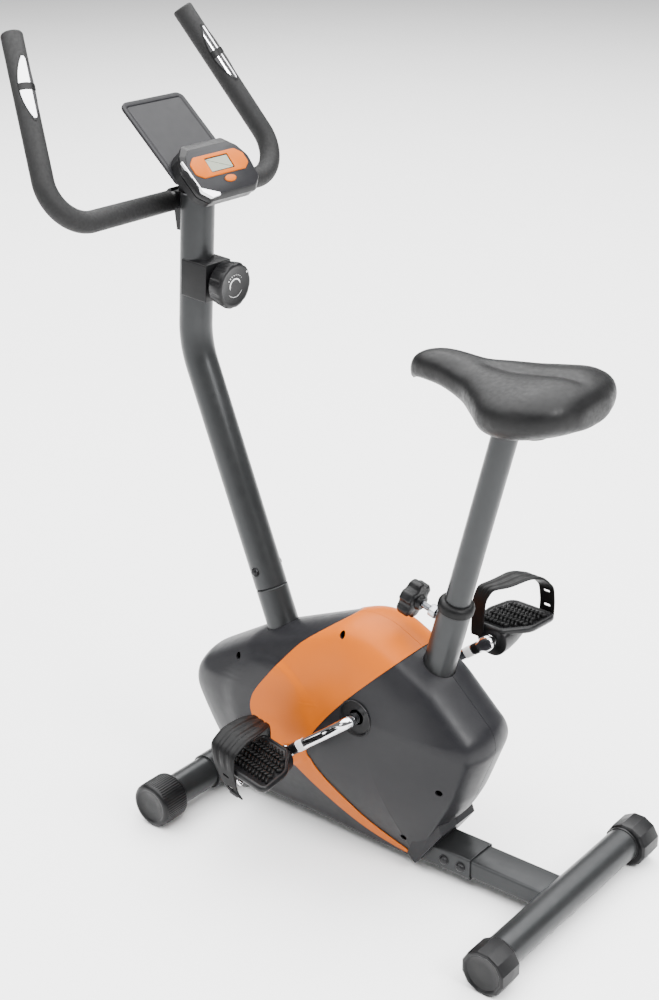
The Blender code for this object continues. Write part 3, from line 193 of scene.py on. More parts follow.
MATERIALS = {
    "powder_coat": surface("powder_coat", (0.030, 0.031, 0.032), 0.34, 0.60, spread=0.06,
                           uneven=0.05, grain=0.0009, depth=0.00001, shine=0.25),
    "housing_plastic": surface("housing_plastic", (0.0100, 0.0100, 0.0115), 0.36, spread=0.05,
                               uneven=0.04, depth=0.0, wave=0.00012, shine=0.16),
    "orange_plastic": surface("orange_plastic", (0.42, 0.090, 0.0005), 0.42, spread=0.04,
                              uneven=0.04, depth=0.0, wave=0.00010, shine=0.12),
    "black_plastic": surface("black_plastic", (0.0038, 0.0038, 0.0043), 0.40, spread=0.18,
                             uneven=0.07, grain=0.0005, depth=0.00005, shine=0.22),
    "black_rubber": surface("black_rubber", (0.0030, 0.0030, 0.0032), 0.46, spread=0.2,
                            uneven=0.08, grain=0.0007, depth=0.00004, shine=0.15),
    "grip_foam": foam("grip_foam"),
    "saddle_skin": leather("saddle_skin"),
    "chrome": surface("chrome", (0.72, 0.72, 0.74), 0.07, 1.0, spread=0.03, uneven=0.03,
                      grain=0.0020, depth=0.000004),
    "steel": surface("steel", (0.42, 0.43, 0.45), 0.28, 1.0, spread=0.10, uneven=0.08,
                     grain=0.0007, depth=0.00002),
    "black_steel": surface("black_steel", (0.010, 0.010, 0.011), 0.30, 0.5, spread=0.15,
                           uneven=0.06, grain=0.0008, depth=0.00003, shine=0.4),
    "screen_glass": display("screen_glass"),
}


# ---------------------------------------------------------------- mesh building blocks

def solid_object(name, vertices, faces, weld=0.0):
    """A mesh object with its faces turned outwards, and corners closer than weld joined."""
    mesh = bpy.data.meshes.new(name)
    shape = bmesh.new()
    corners = [shape.verts.new(point) for point in vertices]
    for face in faces:
        shape.faces.new([corners[index] for index in face])
    if weld:
        bmesh.ops.remove_doubles(shape, verts=shape.verts, dist=weld)
    bmesh.ops.recalc_face_normals(shape, faces=shape.faces)
    shape.to_mesh(mesh)
    shape.free()
    item = bpy.data.objects.new(name, mesh)
    bpy.context.scene.collection.objects.link(item)
    return item


def add_edges(item, width, angle, segments=2):
    """Round off the edges that are sharper than an angle."""
    edge = item.modifiers.new("edges", "BEVEL")
    edge.width = width
    edge.segments = segments
    edge.limit_method = "ANGLE"
    edge.angle_limit = math.radians(angle)


def add_piece(name, vertices, faces, slot, body, stands_for=(), bevel=0.0, sharp=40.0,
              material=None):
    """One smooth-shaded piece that rides on a body and stands for CAD nodes."""
    item = solid_object(name, vertices, faces, weld=1e-6)
    mesh = item.data
    mesh.shade_smooth()
    mesh.set_sharp_from_angle(angle=math.radians(sharp))
    mesh.materials.append(material or MATERIALS[slot])
    if bevel:
        add_edges(item, bevel, sharp, 3)
    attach(item, body)
    if stands_for:
        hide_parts(*stands_for)
    return item


def skin_rings(rings, looped=False):
    """Faces between successive rings of equal size: capped ends, or a loop back to the first."""
    count = len(rings[0])
    vertices = [point for ring in rings for point in ring]
    spans = len(rings) if looped else len(rings) - 1
    faces = []
    for level in range(spans):
        low = level * count
        high = ((level + 1) % len(rings)) * count
        for index in range(count):
            after = (index + 1) % count
            faces.append((low + index, low + after, high + after, high + index))
    if not looped:
        faces.append(tuple(range(count)))
        faces.append(tuple(range((len(rings) - 1) * count, len(rings) * count)))
    return vertices, faces


def add_rings(name, rings, *details, looped=False, **options):
    vertices, faces = skin_rings(rings, looped)
    return add_piece(name, vertices, faces, *details, **options)


def frame_for(direction):
    """Two unit vectors square to a direction."""
    helper = SIDE if abs(direction.y) < 0.9 else AHEAD
    across = direction.cross(helper).normalized()
    return across, direction.cross(across).normalized()


def polar_ring(centre, across, up, segments, size_at):
    """Points round a centre. size_at gives the radius at each turn, in radians."""
    ring = []
    for index in range(segments):
        turn = 2.0 * math.pi * index / segments
        size = size_at(turn)
        ring.append(centre + across * (size * math.cos(turn)) + up * (size * math.sin(turn)))
    return ring


def circle(centre, across, up, radius, segments):
    return polar_ring(centre, across, up, segments, lambda turn: radius)


def squared(value, power):
    """A sine or cosine raised to a power, with its sign kept. Below 1 it squares off a circle."""
    return math.copysign(abs(value) ** power, value)


def path_frames(path):
    """(point, tangent, across, up) along a path, carried along without twisting."""
    tangents = [(path[min(index + 1, len(path) - 1)] - path[max(index - 1, 0)]).normalized()
                for index in range(len(path))]
    across, up = frame_for(tangents[0])
    frames = []
    for index, point in enumerate(path):
        if index:
            turn = tangents[index - 1].rotation_difference(tangents[index])
            across = turn @ across
            up = turn @ up
        frames.append((point, tangents[index], across, up))
    return frames


def path_rings(path, radius, segments=48):
    """Circles along a path. radius is a number, or one number for each point."""
    sizes = radius if isinstance(radius, list) else [radius] * len(path)
    return [circle(point, across, up, size, segments)
            for (point, _, across, up), size in zip(path_frames(path), sizes)]


def slide_ring(ring, along, point, normal):
    """Move a ring along a direction onto a plane."""
    return [spot + along * ((point - spot).dot(normal) / along.dot(normal)) for spot in ring]


def rounded(corners, steps=8, closed=True):
    """Corners of (point, radius) to a polyline with an arc at each corner."""
    count = len(corners)
    points = []
    for index, (corner, radius) in enumerate(corners):
        if not closed and index in (0, count - 1):
            points.append(corner.copy())
            continue
        before = (corners[index - 1][0] - corner).normalized()
        after = (corners[(index + 1) % count][0] - corner).normalized()
        half = before.angle(after) / 2.0
        setback = radius / math.tan(half)
        centre = corner + (before + after).normalized() * (radius / math.sin(half))
        start = corner + before * setback - centre
        end = corner + after * setback - centre
        sweep = start.angle(end)
        for step in range(steps + 1):
            share = step / steps
            weight_a = math.sin((1.0 - share) * sweep) / math.sin(sweep)
            weight_b = math.sin(share * sweep) / math.sin(sweep)
            points.append(centre + start * weight_a + end * weight_b)
    return points


def spaced(points, spacing, closed=True):
    """Points with more put in, so that none are further apart than the spacing."""
    result = []
    last = len(points) if closed else len(points) - 1
    for index in range(last):
        after = points[(index + 1) % len(points)]
        pieces = max(1, math.ceil((after - points[index]).length / spacing))
        result += [points[index].lerp(after, piece / pieces) for piece in range(pieces)]
    return result if closed else result + [points[-1]]


def rounded_box(half_u, half_v, radius, steps=6):
    """A rectangle with round corners, as 2D points about its middle."""
    corners = [(Vector((u * half_u, v * half_v)), radius)
               for u, v in ((1, -1), (1, 1), (-1, 1), (-1, -1))]
    return rounded(corners, steps)


def add_turned(name, profile, centre, axis, *details, segments=64, looped=False, **options):
    """Turn a profile of (radius, height) pairs round an axis through centre."""
    across, up = frame_for(axis)
    rings = [circle(centre + axis * height, across, up, radius, segments)
             for radius, height in profile]
    return add_rings(name, rings, *details, looped=looped, **options)


def add_pipe(name, path, radius, wall, *details, lip=0.0008, segments=48, cuts=(None, None),
             **options):
    """A tube with slightly rounded mouths. Each cut is (point, normal) or None."""
    start = (path[1] - path[0]).normalized()
    end = (path[-1] - path[-2]).normalized()
    longer = [path[0], path[0] + start * lip] + path[1:-1] + [path[-1] - end * lip, path[-1]]
    sizes = [radius - lip] + [radius] * (len(longer) - 2) + [radius - lip]
    outside = path_rings(longer, sizes, segments)
    inside = path_rings(longer, radius - wall, segments)
    for rings in (outside, inside):
        if cuts[0]:
            rings[0] = slide_ring(rings[0], start, *cuts[0])
            rings[1] = slide_ring(rings[1], start, cuts[0][0] + cuts[0][1] * lip, cuts[0][1])
        if cuts[1]:
            rings[-1] = slide_ring(rings[-1], end, *cuts[1])
            rings[-2] = slide_ring(rings[-2], end, cuts[1][0] - cuts[1][1] * lip, cuts[1][1])
    return add_rings(name, outside + inside[::-1], *details, looped=True, **options)


def lean_axis(degrees):
    """Unit vector that goes up and leans towards +X by an angle."""
    angle = math.radians(degrees)
    return Vector((math.sin(angle), 0.0, math.cos(angle)))


def at_height(point, axis, height):
    return point + axis * ((height - point.z) / axis.z)


def smooth_step(value, low, high):
    share = min(max((value - low) / (high - low), 0.0), 1.0)
    return share * share * (3.0 - 2.0 * share)

# ---------------------------------------------------------------- base frame and posts

BAR_RADIUS = 0.0250
BAR_HEIGHT = 0.0356
REAR_BAR_X = -0.4020
FRONT_BAR_X = 0.2187
POST_RADIUS = 0.0245
POST_LOWER_POINT = Vector((0.1788, 0.0, 0.5000))
POST_LOWER_AXIS = lean_axis(20.78)
POST_UPPER_POINT = Vector((0.2442, 0.0, 0.9686))
POST_UPPER_AXIS = lean_axis(-4.48)
POST_BEND_RADIUS = 0.150
POST_SEAM_HEIGHT = 0.3650
SEAT_POINT = Vector((-0.2817, 0.0, 0.7000))
SEAT_AXIS = lean_axis(-14.98)
SEAT_POST_RADIUS = 0.0183
SEAT_TUBE_RADIUS = 0.0235
SEAT_TUBE_TOP = 0.4270
BEAM_CORNER = 0.0045
BEAM_TOP = 0.0523


def add_box_tube(name, node):
    """Rectangular tube with the round corners of cold-formed steel, where its CAD node is."""
    low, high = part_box(node)
    middle = (low + high) / 2.0
    half = (high - low) / 2.0
    rings = []
    for wall, ends in ((0.0, (low.x, high.x)), (TUBE_WALL, (high.x, low.x))):
        outline = rounded_box(half.y - wall, half.z - wall, BEAM_CORNER - wall)
        for x in ends:
            rings.append([Vector((x, middle.y + p.x, middle.z + p.y)) for p in outline])
    return add_rings(name, rings, "powder_coat", "frame", (node,), looped=True, bevel=0.0004)


def make_base():
    add_box_tube("beam_tube", "main_beam")
    add_box_tube("stem_tube", "rear_stem")
    for word in ("rear", "front"):
        low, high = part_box(f"{word}_stabilizer")
        x = (low.x + high.x) / 2.0
        ends = [Vector((x, y, BAR_HEIGHT)) for y in (low.y, high.y)]
        add_pipe(f"{word}_bar", ends, BAR_RADIUS, TUBE_WALL, "powder_coat", "frame",
                 (f"{word}_stabilizer",), segments=64)


def make_posts():
    seam = at_height(POST_LOWER_POINT, POST_LOWER_AXIS, POST_SEAM_HEIGHT)
    foot = at_height(POST_LOWER_POINT, POST_LOWER_AXIS, BEAM_TOP)
    add_pipe("post_lower_tube", [foot, seam], POST_RADIUS, 0.0040, "powder_coat", "frame",
             ("post_stub",), lip=0.0014, segments=64)
    rise = POST_UPPER_POINT - POST_LOWER_POINT
    run = (rise.x * POST_UPPER_AXIS.z - rise.z * POST_UPPER_AXIS.x) / (
        POST_LOWER_AXIS.x * POST_UPPER_AXIS.z - POST_LOWER_AXIS.z * POST_UPPER_AXIS.x)
    bend = POST_LOWER_POINT + POST_LOWER_AXIS * run
    top = at_height(POST_UPPER_POINT, POST_UPPER_AXIS, 0.9500)
    path = rounded([(seam + POST_LOWER_AXIS * GAP, 0.0), (bend, POST_BEND_RADIUS), (top, 0.0)],
                   14, closed=False)
    add_pipe("post_upper_tube", path, POST_RADIUS, TUBE_WALL, "powder_coat", "frame",
             ("handlebar_post",), lip=0.0014, segments=64, cuts=(None, (top, LEVEL)))

    foot = at_height(SEAT_POINT, SEAT_AXIS, BEAM_TOP)
    top = at_height(SEAT_POINT, SEAT_AXIS, SEAT_TUBE_TOP)
    add_pipe("seat_outer_tube", [foot, top], SEAT_TUBE_RADIUS, TUBE_WALL, "powder_coat", "frame",
             ("seat_tube",), segments=64, cuts=((foot, LEVEL), None))
    slide = SEAT_POST_RADIUS + GAP
    bore = SEAT_TUBE_RADIUS - TUBE_WALL
    profile = [(slide, -0.050), (bore - GAP, -0.050), (bore - GAP, GAP),
               (0.0252, GAP), (0.0261, 0.0012), (0.0263, 0.0040), (0.0262, 0.0095),
               (0.0254, 0.0118), (0.0238, 0.0140), (0.0215, 0.0158), (slide, 0.0160)]
    add_turned("seat_collar", profile, top, SEAT_AXIS, "black_rubber", "frame",
               ("seat_bushing",), looped=True)
    bottom = at_height(SEAT_POINT, SEAT_AXIS, 0.3100)
    top = at_height(SEAT_POINT, SEAT_AXIS, 0.7080)
    add_pipe("seat_inner_tube", [bottom, top], SEAT_POST_RADIUS, 0.0016, "powder_coat", "seat",
             ("seat_post",), segments=64)


make_base()
make_posts()

# ---------------------------------------------------------------- housing

CRANK = Vector((-0.0887, 0.0, 0.2462))
SEAM_HALF_GAP = 0.0003
EDGE_LOW = 0.0330
EDGE_HIGH = 0.0520
MIDDLE_HIGH = 0.0740
TAPER_BOTTOM = 0.0195
TAPER_HEIGHT = 0.160
CROWN = 0.0125
BULGE_REACH = 0.035
RIM_INSET = 0.0100
SHELL_WALL = 0.0025
CRANK_HOLE_RADIUS = 0.0270
BOSS_CENTRE = Vector((0.072, 0.200))
BOSS_RADIUS = 0.093
BOSS_HEIGHT = 0.0034
BOSS_SLOPE = 0.012
COVER_INNER = 0.0003
COVER_OUTER = 0.0015
SCREW_ROOM_RADIUS = 0.0052
SCREW_PLACES = ((0.1477, 0.2635), (-0.0515, 0.3600), (-0.2280, 0.1680), (-0.1550, 0.0560))
EDGE_CRISP = 0.0012
EDGE_SOFT = 0.0075
FOOT_HALF_WIDTH = 0.0420
# Side view of the stepped block at the rear foot of the housing
FOOT_OUTLINE = ((-0.1740, 0.0170), (-0.1790, 0.0230), (-0.2080, 0.0640), (-0.2210, 0.0830),
                (-0.2140, 0.1010), (-0.1850, 0.0980), (-0.1600, 0.0300))
# Side view of the orange band: its front edge downwards, then its rear edge upwards
BAND_FRONT = ((-0.0800, 0.4010), (0.0140, 0.3360), (0.0426, 0.3047), (0.0746, 0.2627),
              (0.1010, 0.2279), (0.1098, 0.2041), (0.1066, 0.1845), (0.0950, 0.1712),
              (0.0697, 0.1525), (0.0407, 0.1301), (0.0232, 0.1131), (-0.0250, 0.0740),
              (-0.0720, 0.0430), (-0.1220, 0.0285), (-0.1640, 0.0230))
BAND_REAR = ((-0.1560, 0.0315), (-0.1191, 0.0470), (-0.0879, 0.0640), (-0.0598, 0.0880),
             (-0.0269, 0.1159), (-0.0049, 0.1401), (0.0035, 0.1600), (-0.0087, 0.1934),
             (-0.0415, 0.2355), (-0.0773, 0.2753), (-0.1133, 0.3114), (-0.1478, 0.3451),
             (-0.1960, 0.3960))


def smooth_path(points, rounds=2):
    """Corner cutting: each round replaces a corner with two points, the ends stay."""
    path = [Vector(point) for point in points]
    for _ in range(rounds):
        finer = [path[0]]
        for before, after in zip(path, path[1:]):
            finer += [before.lerp(after, 0.25), before.lerp(after, 0.75)]
        path = finer + [path[-1]]
    return path


def housing_outline():
    """Side view of the housing, as 2D points round the crank, 5 mm apart."""
    corners = [(Vector((0.1640, 0.0195)), 0.014), (Vector((0.2560, 0.2110)), 0.045),
               (Vector((0.1300, 0.2870)), 0.150), (Vector((-0.0770, 0.3750)), 0.090),
               (Vector((-0.1930, 0.3180)), 0.120), (Vector((-0.2750, 0.2410)), 0.032),
               (Vector((-0.2400, 0.1490)), 0.120), (Vector((-0.1720, 0.0195)), 0.014)]
    return spaced(rounded(corners, 14), 0.005)


def outline_normals(points):
    normals = []
    for index, point in enumerate(points):
        along = points[(index + 1) % len(points)] - points[index - 1]
        outward = Vector((along.y, -along.x)).normalized()
        away = point - Vector((CRANK.x, CRANK.z))
        normals.append(outward if outward.dot(away) > 0 else -outward)
    return normals


def taper(z):
    """0 at the foot of the housing, rising to 1 where its sides reach their full width."""
    share = min(max((z - TAPER_BOTTOM) / TAPER_HEIGHT, 0.0), 1.0)
    return math.sin(share * math.pi / 2.0)


def housing_half_width(spot, inset):
    """Half width at a point of the side view, a distance in from the outline."""
    edge = EDGE_LOW + (EDGE_HIGH - EDGE_LOW) * taper(spot.y)
    middle = EDGE_LOW + (MIDDLE_HIGH - EDGE_LOW) * taper(spot.y)
    return edge + (middle - edge) * (1.0 - math.exp(-inset / BULGE_REACH))


def section_corners(point, normal):
    """Section of the left skin: from the centre seam, over the edge, to the crank hole."""
    edge = housing_half_width(point, 0.0)
    corners = []
    for step in range(11):
        share = step / 10
        crown = CROWN * (1.0 - share * share) * smooth_step(point.y, 0.060, 0.130)
        spot = point + normal * crown
        corners.append(Vector((spot.x, edge * share, spot.y)))
    centre = Vector((CRANK.x, CRANK.z))
    rim = point - normal * RIM_INSET
    hole = centre + (point - centre).normalized() * CRANK_HOLE_RADIUS
    for step in range(1, 31):
        spot = point.lerp(rim, min(step / 4, 1.0)).lerp(hole, max(step - 4, 0) / 26)
        inset = (point - spot).length
        corners.append(Vector((spot.x, housing_half_width(spot, inset), spot.y)))
    return corners


def along_section(corners, lengths, reach):
    """The point a distance along a section. It mirrors past the seam, and stops at the hole."""
    distance = min(abs(reach), lengths[-1])
    index = min(bisect_right(lengths, distance), len(corners) - 1)
    before = lengths[index - 1]
    spot = corners[index - 1].lerp(corners[index], (distance - before) / (lengths[index] - before))
    return Vector((spot.x, -spot.y, spot.z)) if reach < 0.0 else spot


def softened_section(point, normal):
    """A section with its edge rounded, softly above and in front, and crisply low at the back."""
    corners = section_corners(point, normal)
    lengths = [0.0]
    for before, after in zip(corners, corners[1:]):
        lengths.append(lengths[-1] + (after - before).length)
    soft = max(smooth_step(point.y, 0.190, 0.270), smooth_step(point.x, -0.100, 0.050))
    spread = EDGE_CRISP + (EDGE_SOFT - EDGE_CRISP) * soft
    near = lengths[10] + 0.030
    reaches = [near * step / 30 for step in range(31)]
    reaches += [near + (lengths[-1] - near) * step / 22 for step in range(1, 23)]
    taps = [(offset / 2.0, math.exp(-(offset / 2.0) ** 2 / 2.0)) for offset in range(-4, 5)]
    total = sum(weight for _, weight in taps)
    section = []
    for reach in reaches:
        width = min(spread, (lengths[-1] - reach) / 2.0)
        spot = Vector((0.0, 0.0, 0.0))
        for offset, weight in taps:
            spot += along_section(corners, lengths, reach + offset * width) * (weight / total)
        spot.y += boss_lift(spot)
        section.append(spot)
    return section


def boss_lift(spot):
    """How far the round boss in front stands out of the side of the housing."""
    reach = (Vector((spot.x, spot.z)) - BOSS_CENTRE).length
    edge = EDGE_LOW + (EDGE_HIGH - EDGE_LOW) * taper(spot.z)
    inside_edge = smooth_step(spot.y, edge * 0.9, edge + 0.004)
    rim = smooth_step(reach, BOSS_RADIUS - BOSS_SLOPE, BOSS_RADIUS)
    return BOSS_HEIGHT * inside_edge * (1.0 - rim)


def housing_skin():
    """The left skin as a grid of sections, and the outward direction at each of its points."""
    outline = housing_outline()
    grid = [softened_section(*pair) for pair in zip(outline, outline_normals(outline))]
    outward = []
    for index, section in enumerate(grid):
        before, after = grid[index - 1], grid[(index + 1) % len(grid)]
        row = []
        for step, spot in enumerate(section):
            along = section[min(step + 1, len(section) - 1)] - section[max(step - 1, 0)]
            normal = along.cross(after[step] - before[step]).normalized()
            away = spot - Vector((CRANK.x, 0.0, CRANK.z))
            row.append(normal if normal.dot(away) > 0.0 else -normal)
        outward.append(row)
    return grid, outward


HOUSING_GRID, HOUSING_OUTWARD = housing_skin()


def housing_rings(lift):
    """Rings of the left skin, moved outwards by lift, from the seam to the crank hole."""
    rings = []
    for step in range(len(HOUSING_GRID[0])):
        ring = []
        for section, outward in zip(HOUSING_GRID, HOUSING_OUTWARD):
            spot = section[step] + outward[step] * lift
            spot.y = SEAM_HALF_GAP if step == 0 else max(spot.y, SEAM_HALF_GAP)
            ring.append(spot)
        rings.append(ring)
    return rings


def mirrored(rings, side):
    return [[Vector((point.x, side * point.y, point.z)) for point in ring] for ring in rings]


def cutter(name, rings):
    """A closed solid for a Boolean, taken away again once the cut is made."""
    vertices, faces = skin_rings(rings)
    return solid_object(name, vertices, faces)


def cut(item, tools, operation="DIFFERENCE", solver="EXACT"):
    """Apply Booleans to a piece and remove their cutters."""
    for tool in tools:
        modifier = item.modifiers.new(tool.name, "BOOLEAN")
        modifier.operation = operation
        modifier.solver = solver
        modifier.object = tool
    apply_modifiers(item)
    for tool in tools:
        bpy.data.objects.remove(tool, do_unlink=True)


def apply_modifiers(item):
    """Swap a piece's mesh for its evaluated one."""
    graph = bpy.context.evaluated_depsgraph_get()
    mesh = bpy.data.meshes.new_from_object(item.evaluated_get(graph))
    item.modifiers.clear()
    item.data = mesh


def box_rings(low, high):
    def ring(height):
        return [Vector((low[0], low[1], height)), Vector((high[0], low[1], height)),
                Vector((high[0], high[1], height)), Vector((low[0], high[1], height))]
    return [ring(low[2]), ring(high[2])]


def housing_cutters():
    """Room for the beam and for the two leaning tubes."""
    post = [at_height(POST_LOWER_POINT, POST_LOWER_AXIS, height) for height in (0.20, 0.36)]
    seat = [at_height(SEAT_POINT, SEAT_AXIS, height) for height in (0.22, 0.40)]
    return [cutter("beam_room", box_rings((-0.30, -0.0297, 0.0), (0.30, 0.0297, 0.0535))),
            cutter("post_room", path_rings(post, POST_RADIUS + 0.0010)),
            cutter("seat_room", path_rings(seat, SEAT_TUBE_RADIUS + 0.0010))]


def screw_cutters():
    """The deep screw holes, which only the left side has."""
    tools = []
    for x, z in SCREW_PLACES:
        ends = [Vector((x, 0.015, z)), Vector((x, 0.090, z))]
        tools.append(cutter("screw_room", path_rings(ends, SCREW_ROOM_RADIUS, 24)))
    return tools


def make_shell(word, side):
    skin = mirrored(housing_rings(0.0), side)
    lining = mirrored(housing_rings(-SHELL_WALL), side)
    shell = add_rings(f"{word}_shell", skin + lining[::-1], "housing_plastic", "frame",
                      (f"{word}_housing",), looped=True, sharp=42.0)
    rings = [[Vector((u, side * y, v)) for u, v in FOOT_OUTLINE]
             for y in (SEAM_HALF_GAP, FOOT_HALF_WIDTH)]
    cut(shell, [cutter("foot_block", rings)], "UNION")
    cut(shell, housing_cutters() + (screw_cutters() if side > 0 else []))
    finish_edges(shell)


def finish_edges(item, angle=42.0):
    item.data.shade_smooth()
    item.data.set_sharp_from_angle(angle=math.radians(angle))


def make_cover(word, side):
    outline = smooth_path(BAND_FRONT) + smooth_path(BAND_REAR)
    skin = mirrored(housing_rings(COVER_OUTER), side)
    lining = mirrored(housing_rings(COVER_INNER), side)
    cover = add_rings(f"{word}_band", skin + lining[::-1], "orange_plastic", "frame",
                      (f"{word}_orange_cover",), looped=True)
    near = [Vector((point.x, -side * 0.01, point.y)) for point in outline]
    far = [Vector((point.x, side * 0.10, point.y)) for point in outline]
    cut(cover, [cutter("band", [near, far])], "INTERSECT", "MANIFOLD")
    if side > 0:
        cut(cover, screw_cutters())
    finish_edges(cover)


for word, side in SIDES:
    make_shell(word, side)
    make_cover(word, side)

# ---------------------------------------------------------------- saddle

SADDLE_NOSE = Vector((-0.1330, 0.0, 0.7770))
SADDLE_LENGTH = 0.2830
SADDLE_HALF_WIDTH = 0.1020
SADDLE_FLOOR = 0.7290
# Sections from the nose back: share of the length, share of the half width, rise of the top
# over the nose tip, and depth of the section
SADDLE_STATIONS = (
    (0.00, 0.10, 0.000, 0.030), (0.03, 0.19, 0.012, 0.036), (0.10, 0.27, 0.020, 0.042),
    (0.22, 0.33, 0.022, 0.048), (0.36, 0.44, 0.018, 0.056), (0.48, 0.68, 0.016, 0.066),
    (0.58, 0.90, 0.016, 0.074), (0.70, 1.00, 0.020, 0.078), (0.82, 0.98, 0.024, 0.074),
    (0.91, 0.86, 0.022, 0.064), (0.97, 0.64, 0.014, 0.050), (1.00, 0.36, 0.000, 0.034))
SKIN_SWELL = 0.0015


def between(table, share):
    """Read a table of rows by their first number, along a smooth curve through the rows."""
    last = len(table) - 1
    for index in range(last):
        if share <= table[index + 1][0]:
            break
    rows = [table[max(index - 1, 0)], table[index], table[index + 1], table[min(index + 2, last)]]
    t = (share - rows[1][0]) / (rows[2][0] - rows[1][0])
    values = []
    for column in range(1, len(table[0])):
        slopes = []
        for low, high in ((0, 2), (1, 3)):
            width = rows[high][0] - rows[low][0]
            slopes.append((rows[high][column] - rows[low][column]) / width)
        run = rows[2][0] - rows[1][0]
        a, b = rows[1][column], rows[2][column]
        values.append(a * (2 * t ** 3 - 3 * t ** 2 + 1) + b * (3 * t ** 2 - 2 * t ** 3)
                      + run * slopes[0] * (t ** 3 - 2 * t ** 2 + t)
                      + run * slopes[1] * (t ** 3 - t ** 2))
    return values


def saddle_section(share, shrink, segments=72):
    width, rise, depth = between(SADDLE_STATIONS, share)
    half = max(SADDLE_HALF_WIDTH * width - shrink, 0.002)
    middle = SADDLE_NOSE.z + rise - depth / 2.0
    ring = []
    for index in range(segments):
        turn = 2.0 * math.pi * index / segments
        side = squared(math.cos(turn), 0.80)
        tall = squared(math.sin(turn), 0.80)
        z = max(middle + tall * (depth / 2.0 - shrink), SADDLE_FLOOR)
        ring.append(Vector((SADDLE_NOSE.x - share * SADDLE_LENGTH, half * side, z)))
    return ring


def swell(item, cap):
    """Blow the skin up gently as cloth under pressure, no point moving further than cap."""
    remesh = item.modifiers.new("even", "REMESH")
    remesh.mode = "VOXEL"
    remesh.voxel_size = 0.0045
    apply_modifiers(item)
    before = [vertex.co.copy() for vertex in item.data.vertices]
    cloth = item.modifiers.new("skin", "CLOTH")
    cloth.settings.use_pressure = True
    cloth.settings.uniform_pressure_force = 4.0
    cloth.settings.effector_weights.gravity = 0.0
    for step in range(1, 21):
        bpy.context.scene.frame_set(step)
    apply_modifiers(item)
    bpy.context.scene.frame_set(1)
    for vertex, start in zip(item.data.vertices, before):
        move = vertex.co - start
        if move.length > cap:
            vertex.co = start + move.normalized() * cap


def press_groove(item):
    """The channel along the back half of the seat, between its two lobes."""
    for vertex in item.data.vertices:
        place = vertex.co
        if place.z < SADDLE_FLOOR + 0.020:
            continue
        along = (SADDLE_NOSE.x - place.x) / SADDLE_LENGTH
        window = smooth_step(along, 0.34, 0.52) * (1.0 - smooth_step(along, 0.84, 0.97))
        top = smooth_step(place.z, SADDLE_FLOOR + 0.035, SADDLE_FLOOR + 0.055)
        valley = math.exp(-(place.y / 0.0085) ** 2)
        lobes = math.exp(-((abs(place.y) - 0.030) / 0.020) ** 2)
        vertex.co.z += window * top * (0.0022 * lobes - 0.0052 * valley)


def make_saddle():
    shares = [0.5 - 0.5 * math.cos(math.pi * step / 56) for step in range(57)]
    rings = [saddle_section(share, SKIN_SWELL) for share in shares]
    pad = add_rings("saddle", rings, "saddle_skin", "seat", ("saddle_pad",), sharp=180.0)
    swell(pad, SKIN_SWELL)
    press_groove(pad)
    for vertex in pad.data.vertices:
        vertex.co.z = max(vertex.co.z, SADDLE_FLOOR - 0.0003)
    soften = pad.modifiers.new("soften", "SMOOTH")
    soften.factor = 0.5
    soften.iterations = 6
    finer = pad.modifiers.new("finer", "SUBSURF")
    finer.levels = 1
    finer.render_levels = 1
    apply_modifiers(pad)
    pad.data.shade_smooth()


make_saddle()

# ---------------------------------------------------------------- handlebar

HANDLEBAR_RADIUS = 0.0127
GRIP_RADIUS = 0.0155
BAR_CORNER = Vector((0.2845, 0.2411, 0.9345))
BAR_END = Vector((0.4221, 0.1674, 1.1728))
BAR_BEND_RADIUS = 0.055
# How far each pulse sensor is turned outwards round its grip, from facing the rider
SENSOR_TURNS = {1: 16.0, -1: 2.0}


def on_side(point, side):
    return Vector((point.x, side * point.y, point.z))


def make_grip(word, side):
    end = on_side(BAR_END, side)
    corner = on_side(BAR_CORNER, side)
    stop = Vector((BAR_CORNER.x, side * 0.0190, BAR_CORNER.z))
    inward = (corner - end).normalized()
    route = rounded([(end, 0.0), (corner, BAR_BEND_RADIUS), (stop, 0.0)], 22, closed=False)
    centre = Vector((0.0, -side, 0.0))
    path = [end, end + inward * 0.0008, end + inward * 0.0028] + route[1:-1] + [
        stop - centre * 0.0016, stop]
    sizes = [GRIP_RADIUS - 0.0035, GRIP_RADIUS - 0.0012] + [GRIP_RADIUS] * (len(path) - 4) + [
        GRIP_RADIUS - 0.0006, GRIP_RADIUS - 0.0020]
    outer = path_rings(path, sizes)
    inner = path_rings([end + inward * 0.0035, end + inward * 0.005] + path[2:],
                       HANDLEBAR_RADIUS + GAP)
    add_rings(f"{word}_foam_grip", outer + inner[::-1], "grip_foam", "handlebar",
              (f"{word}_grip",), looped=True, sharp=60.0)


def add_patch(name, slot, side, first, last, wide, low, high, replaced=(), steps=18):
    """A thin plate that lies round the grip. It is first to last from the bar's end.

    wide gives its half angle for a share of the whole sensor's length, and low and high are
    how far its two faces stand off the foam.
    """
    end = on_side(BAR_END, side)
    along = (end - on_side(BAR_CORNER, side)).normalized()
    rider = Vector((-1.0, 0.0, 0.0))
    rider = (rider - along * rider.dot(along)).normalized()
    facing = Matrix.Rotation(math.radians(-side * SENSOR_TURNS[side]), 3, along) @ rider
    across = along.cross(facing)
    rings = []
    for step in range(steps + 1):
        reach = first + (last - first) * step / steps
        spread = math.radians(wide(reach))
        base = end - along * reach
        arc = [spread * (2.0 * index / 16 - 1.0) for index in range(17)]
        ring = []
        for radius, turns in ((GRIP_RADIUS + high, arc), (GRIP_RADIUS + low, arc[::-1])):
            ring += [base + facing * (radius * math.cos(a)) + across * (radius * math.sin(a))
                     for a in turns]
        rings.append(ring)
    return add_rings(name, rings, slot, "handlebar", replaced, sharp=30.0)


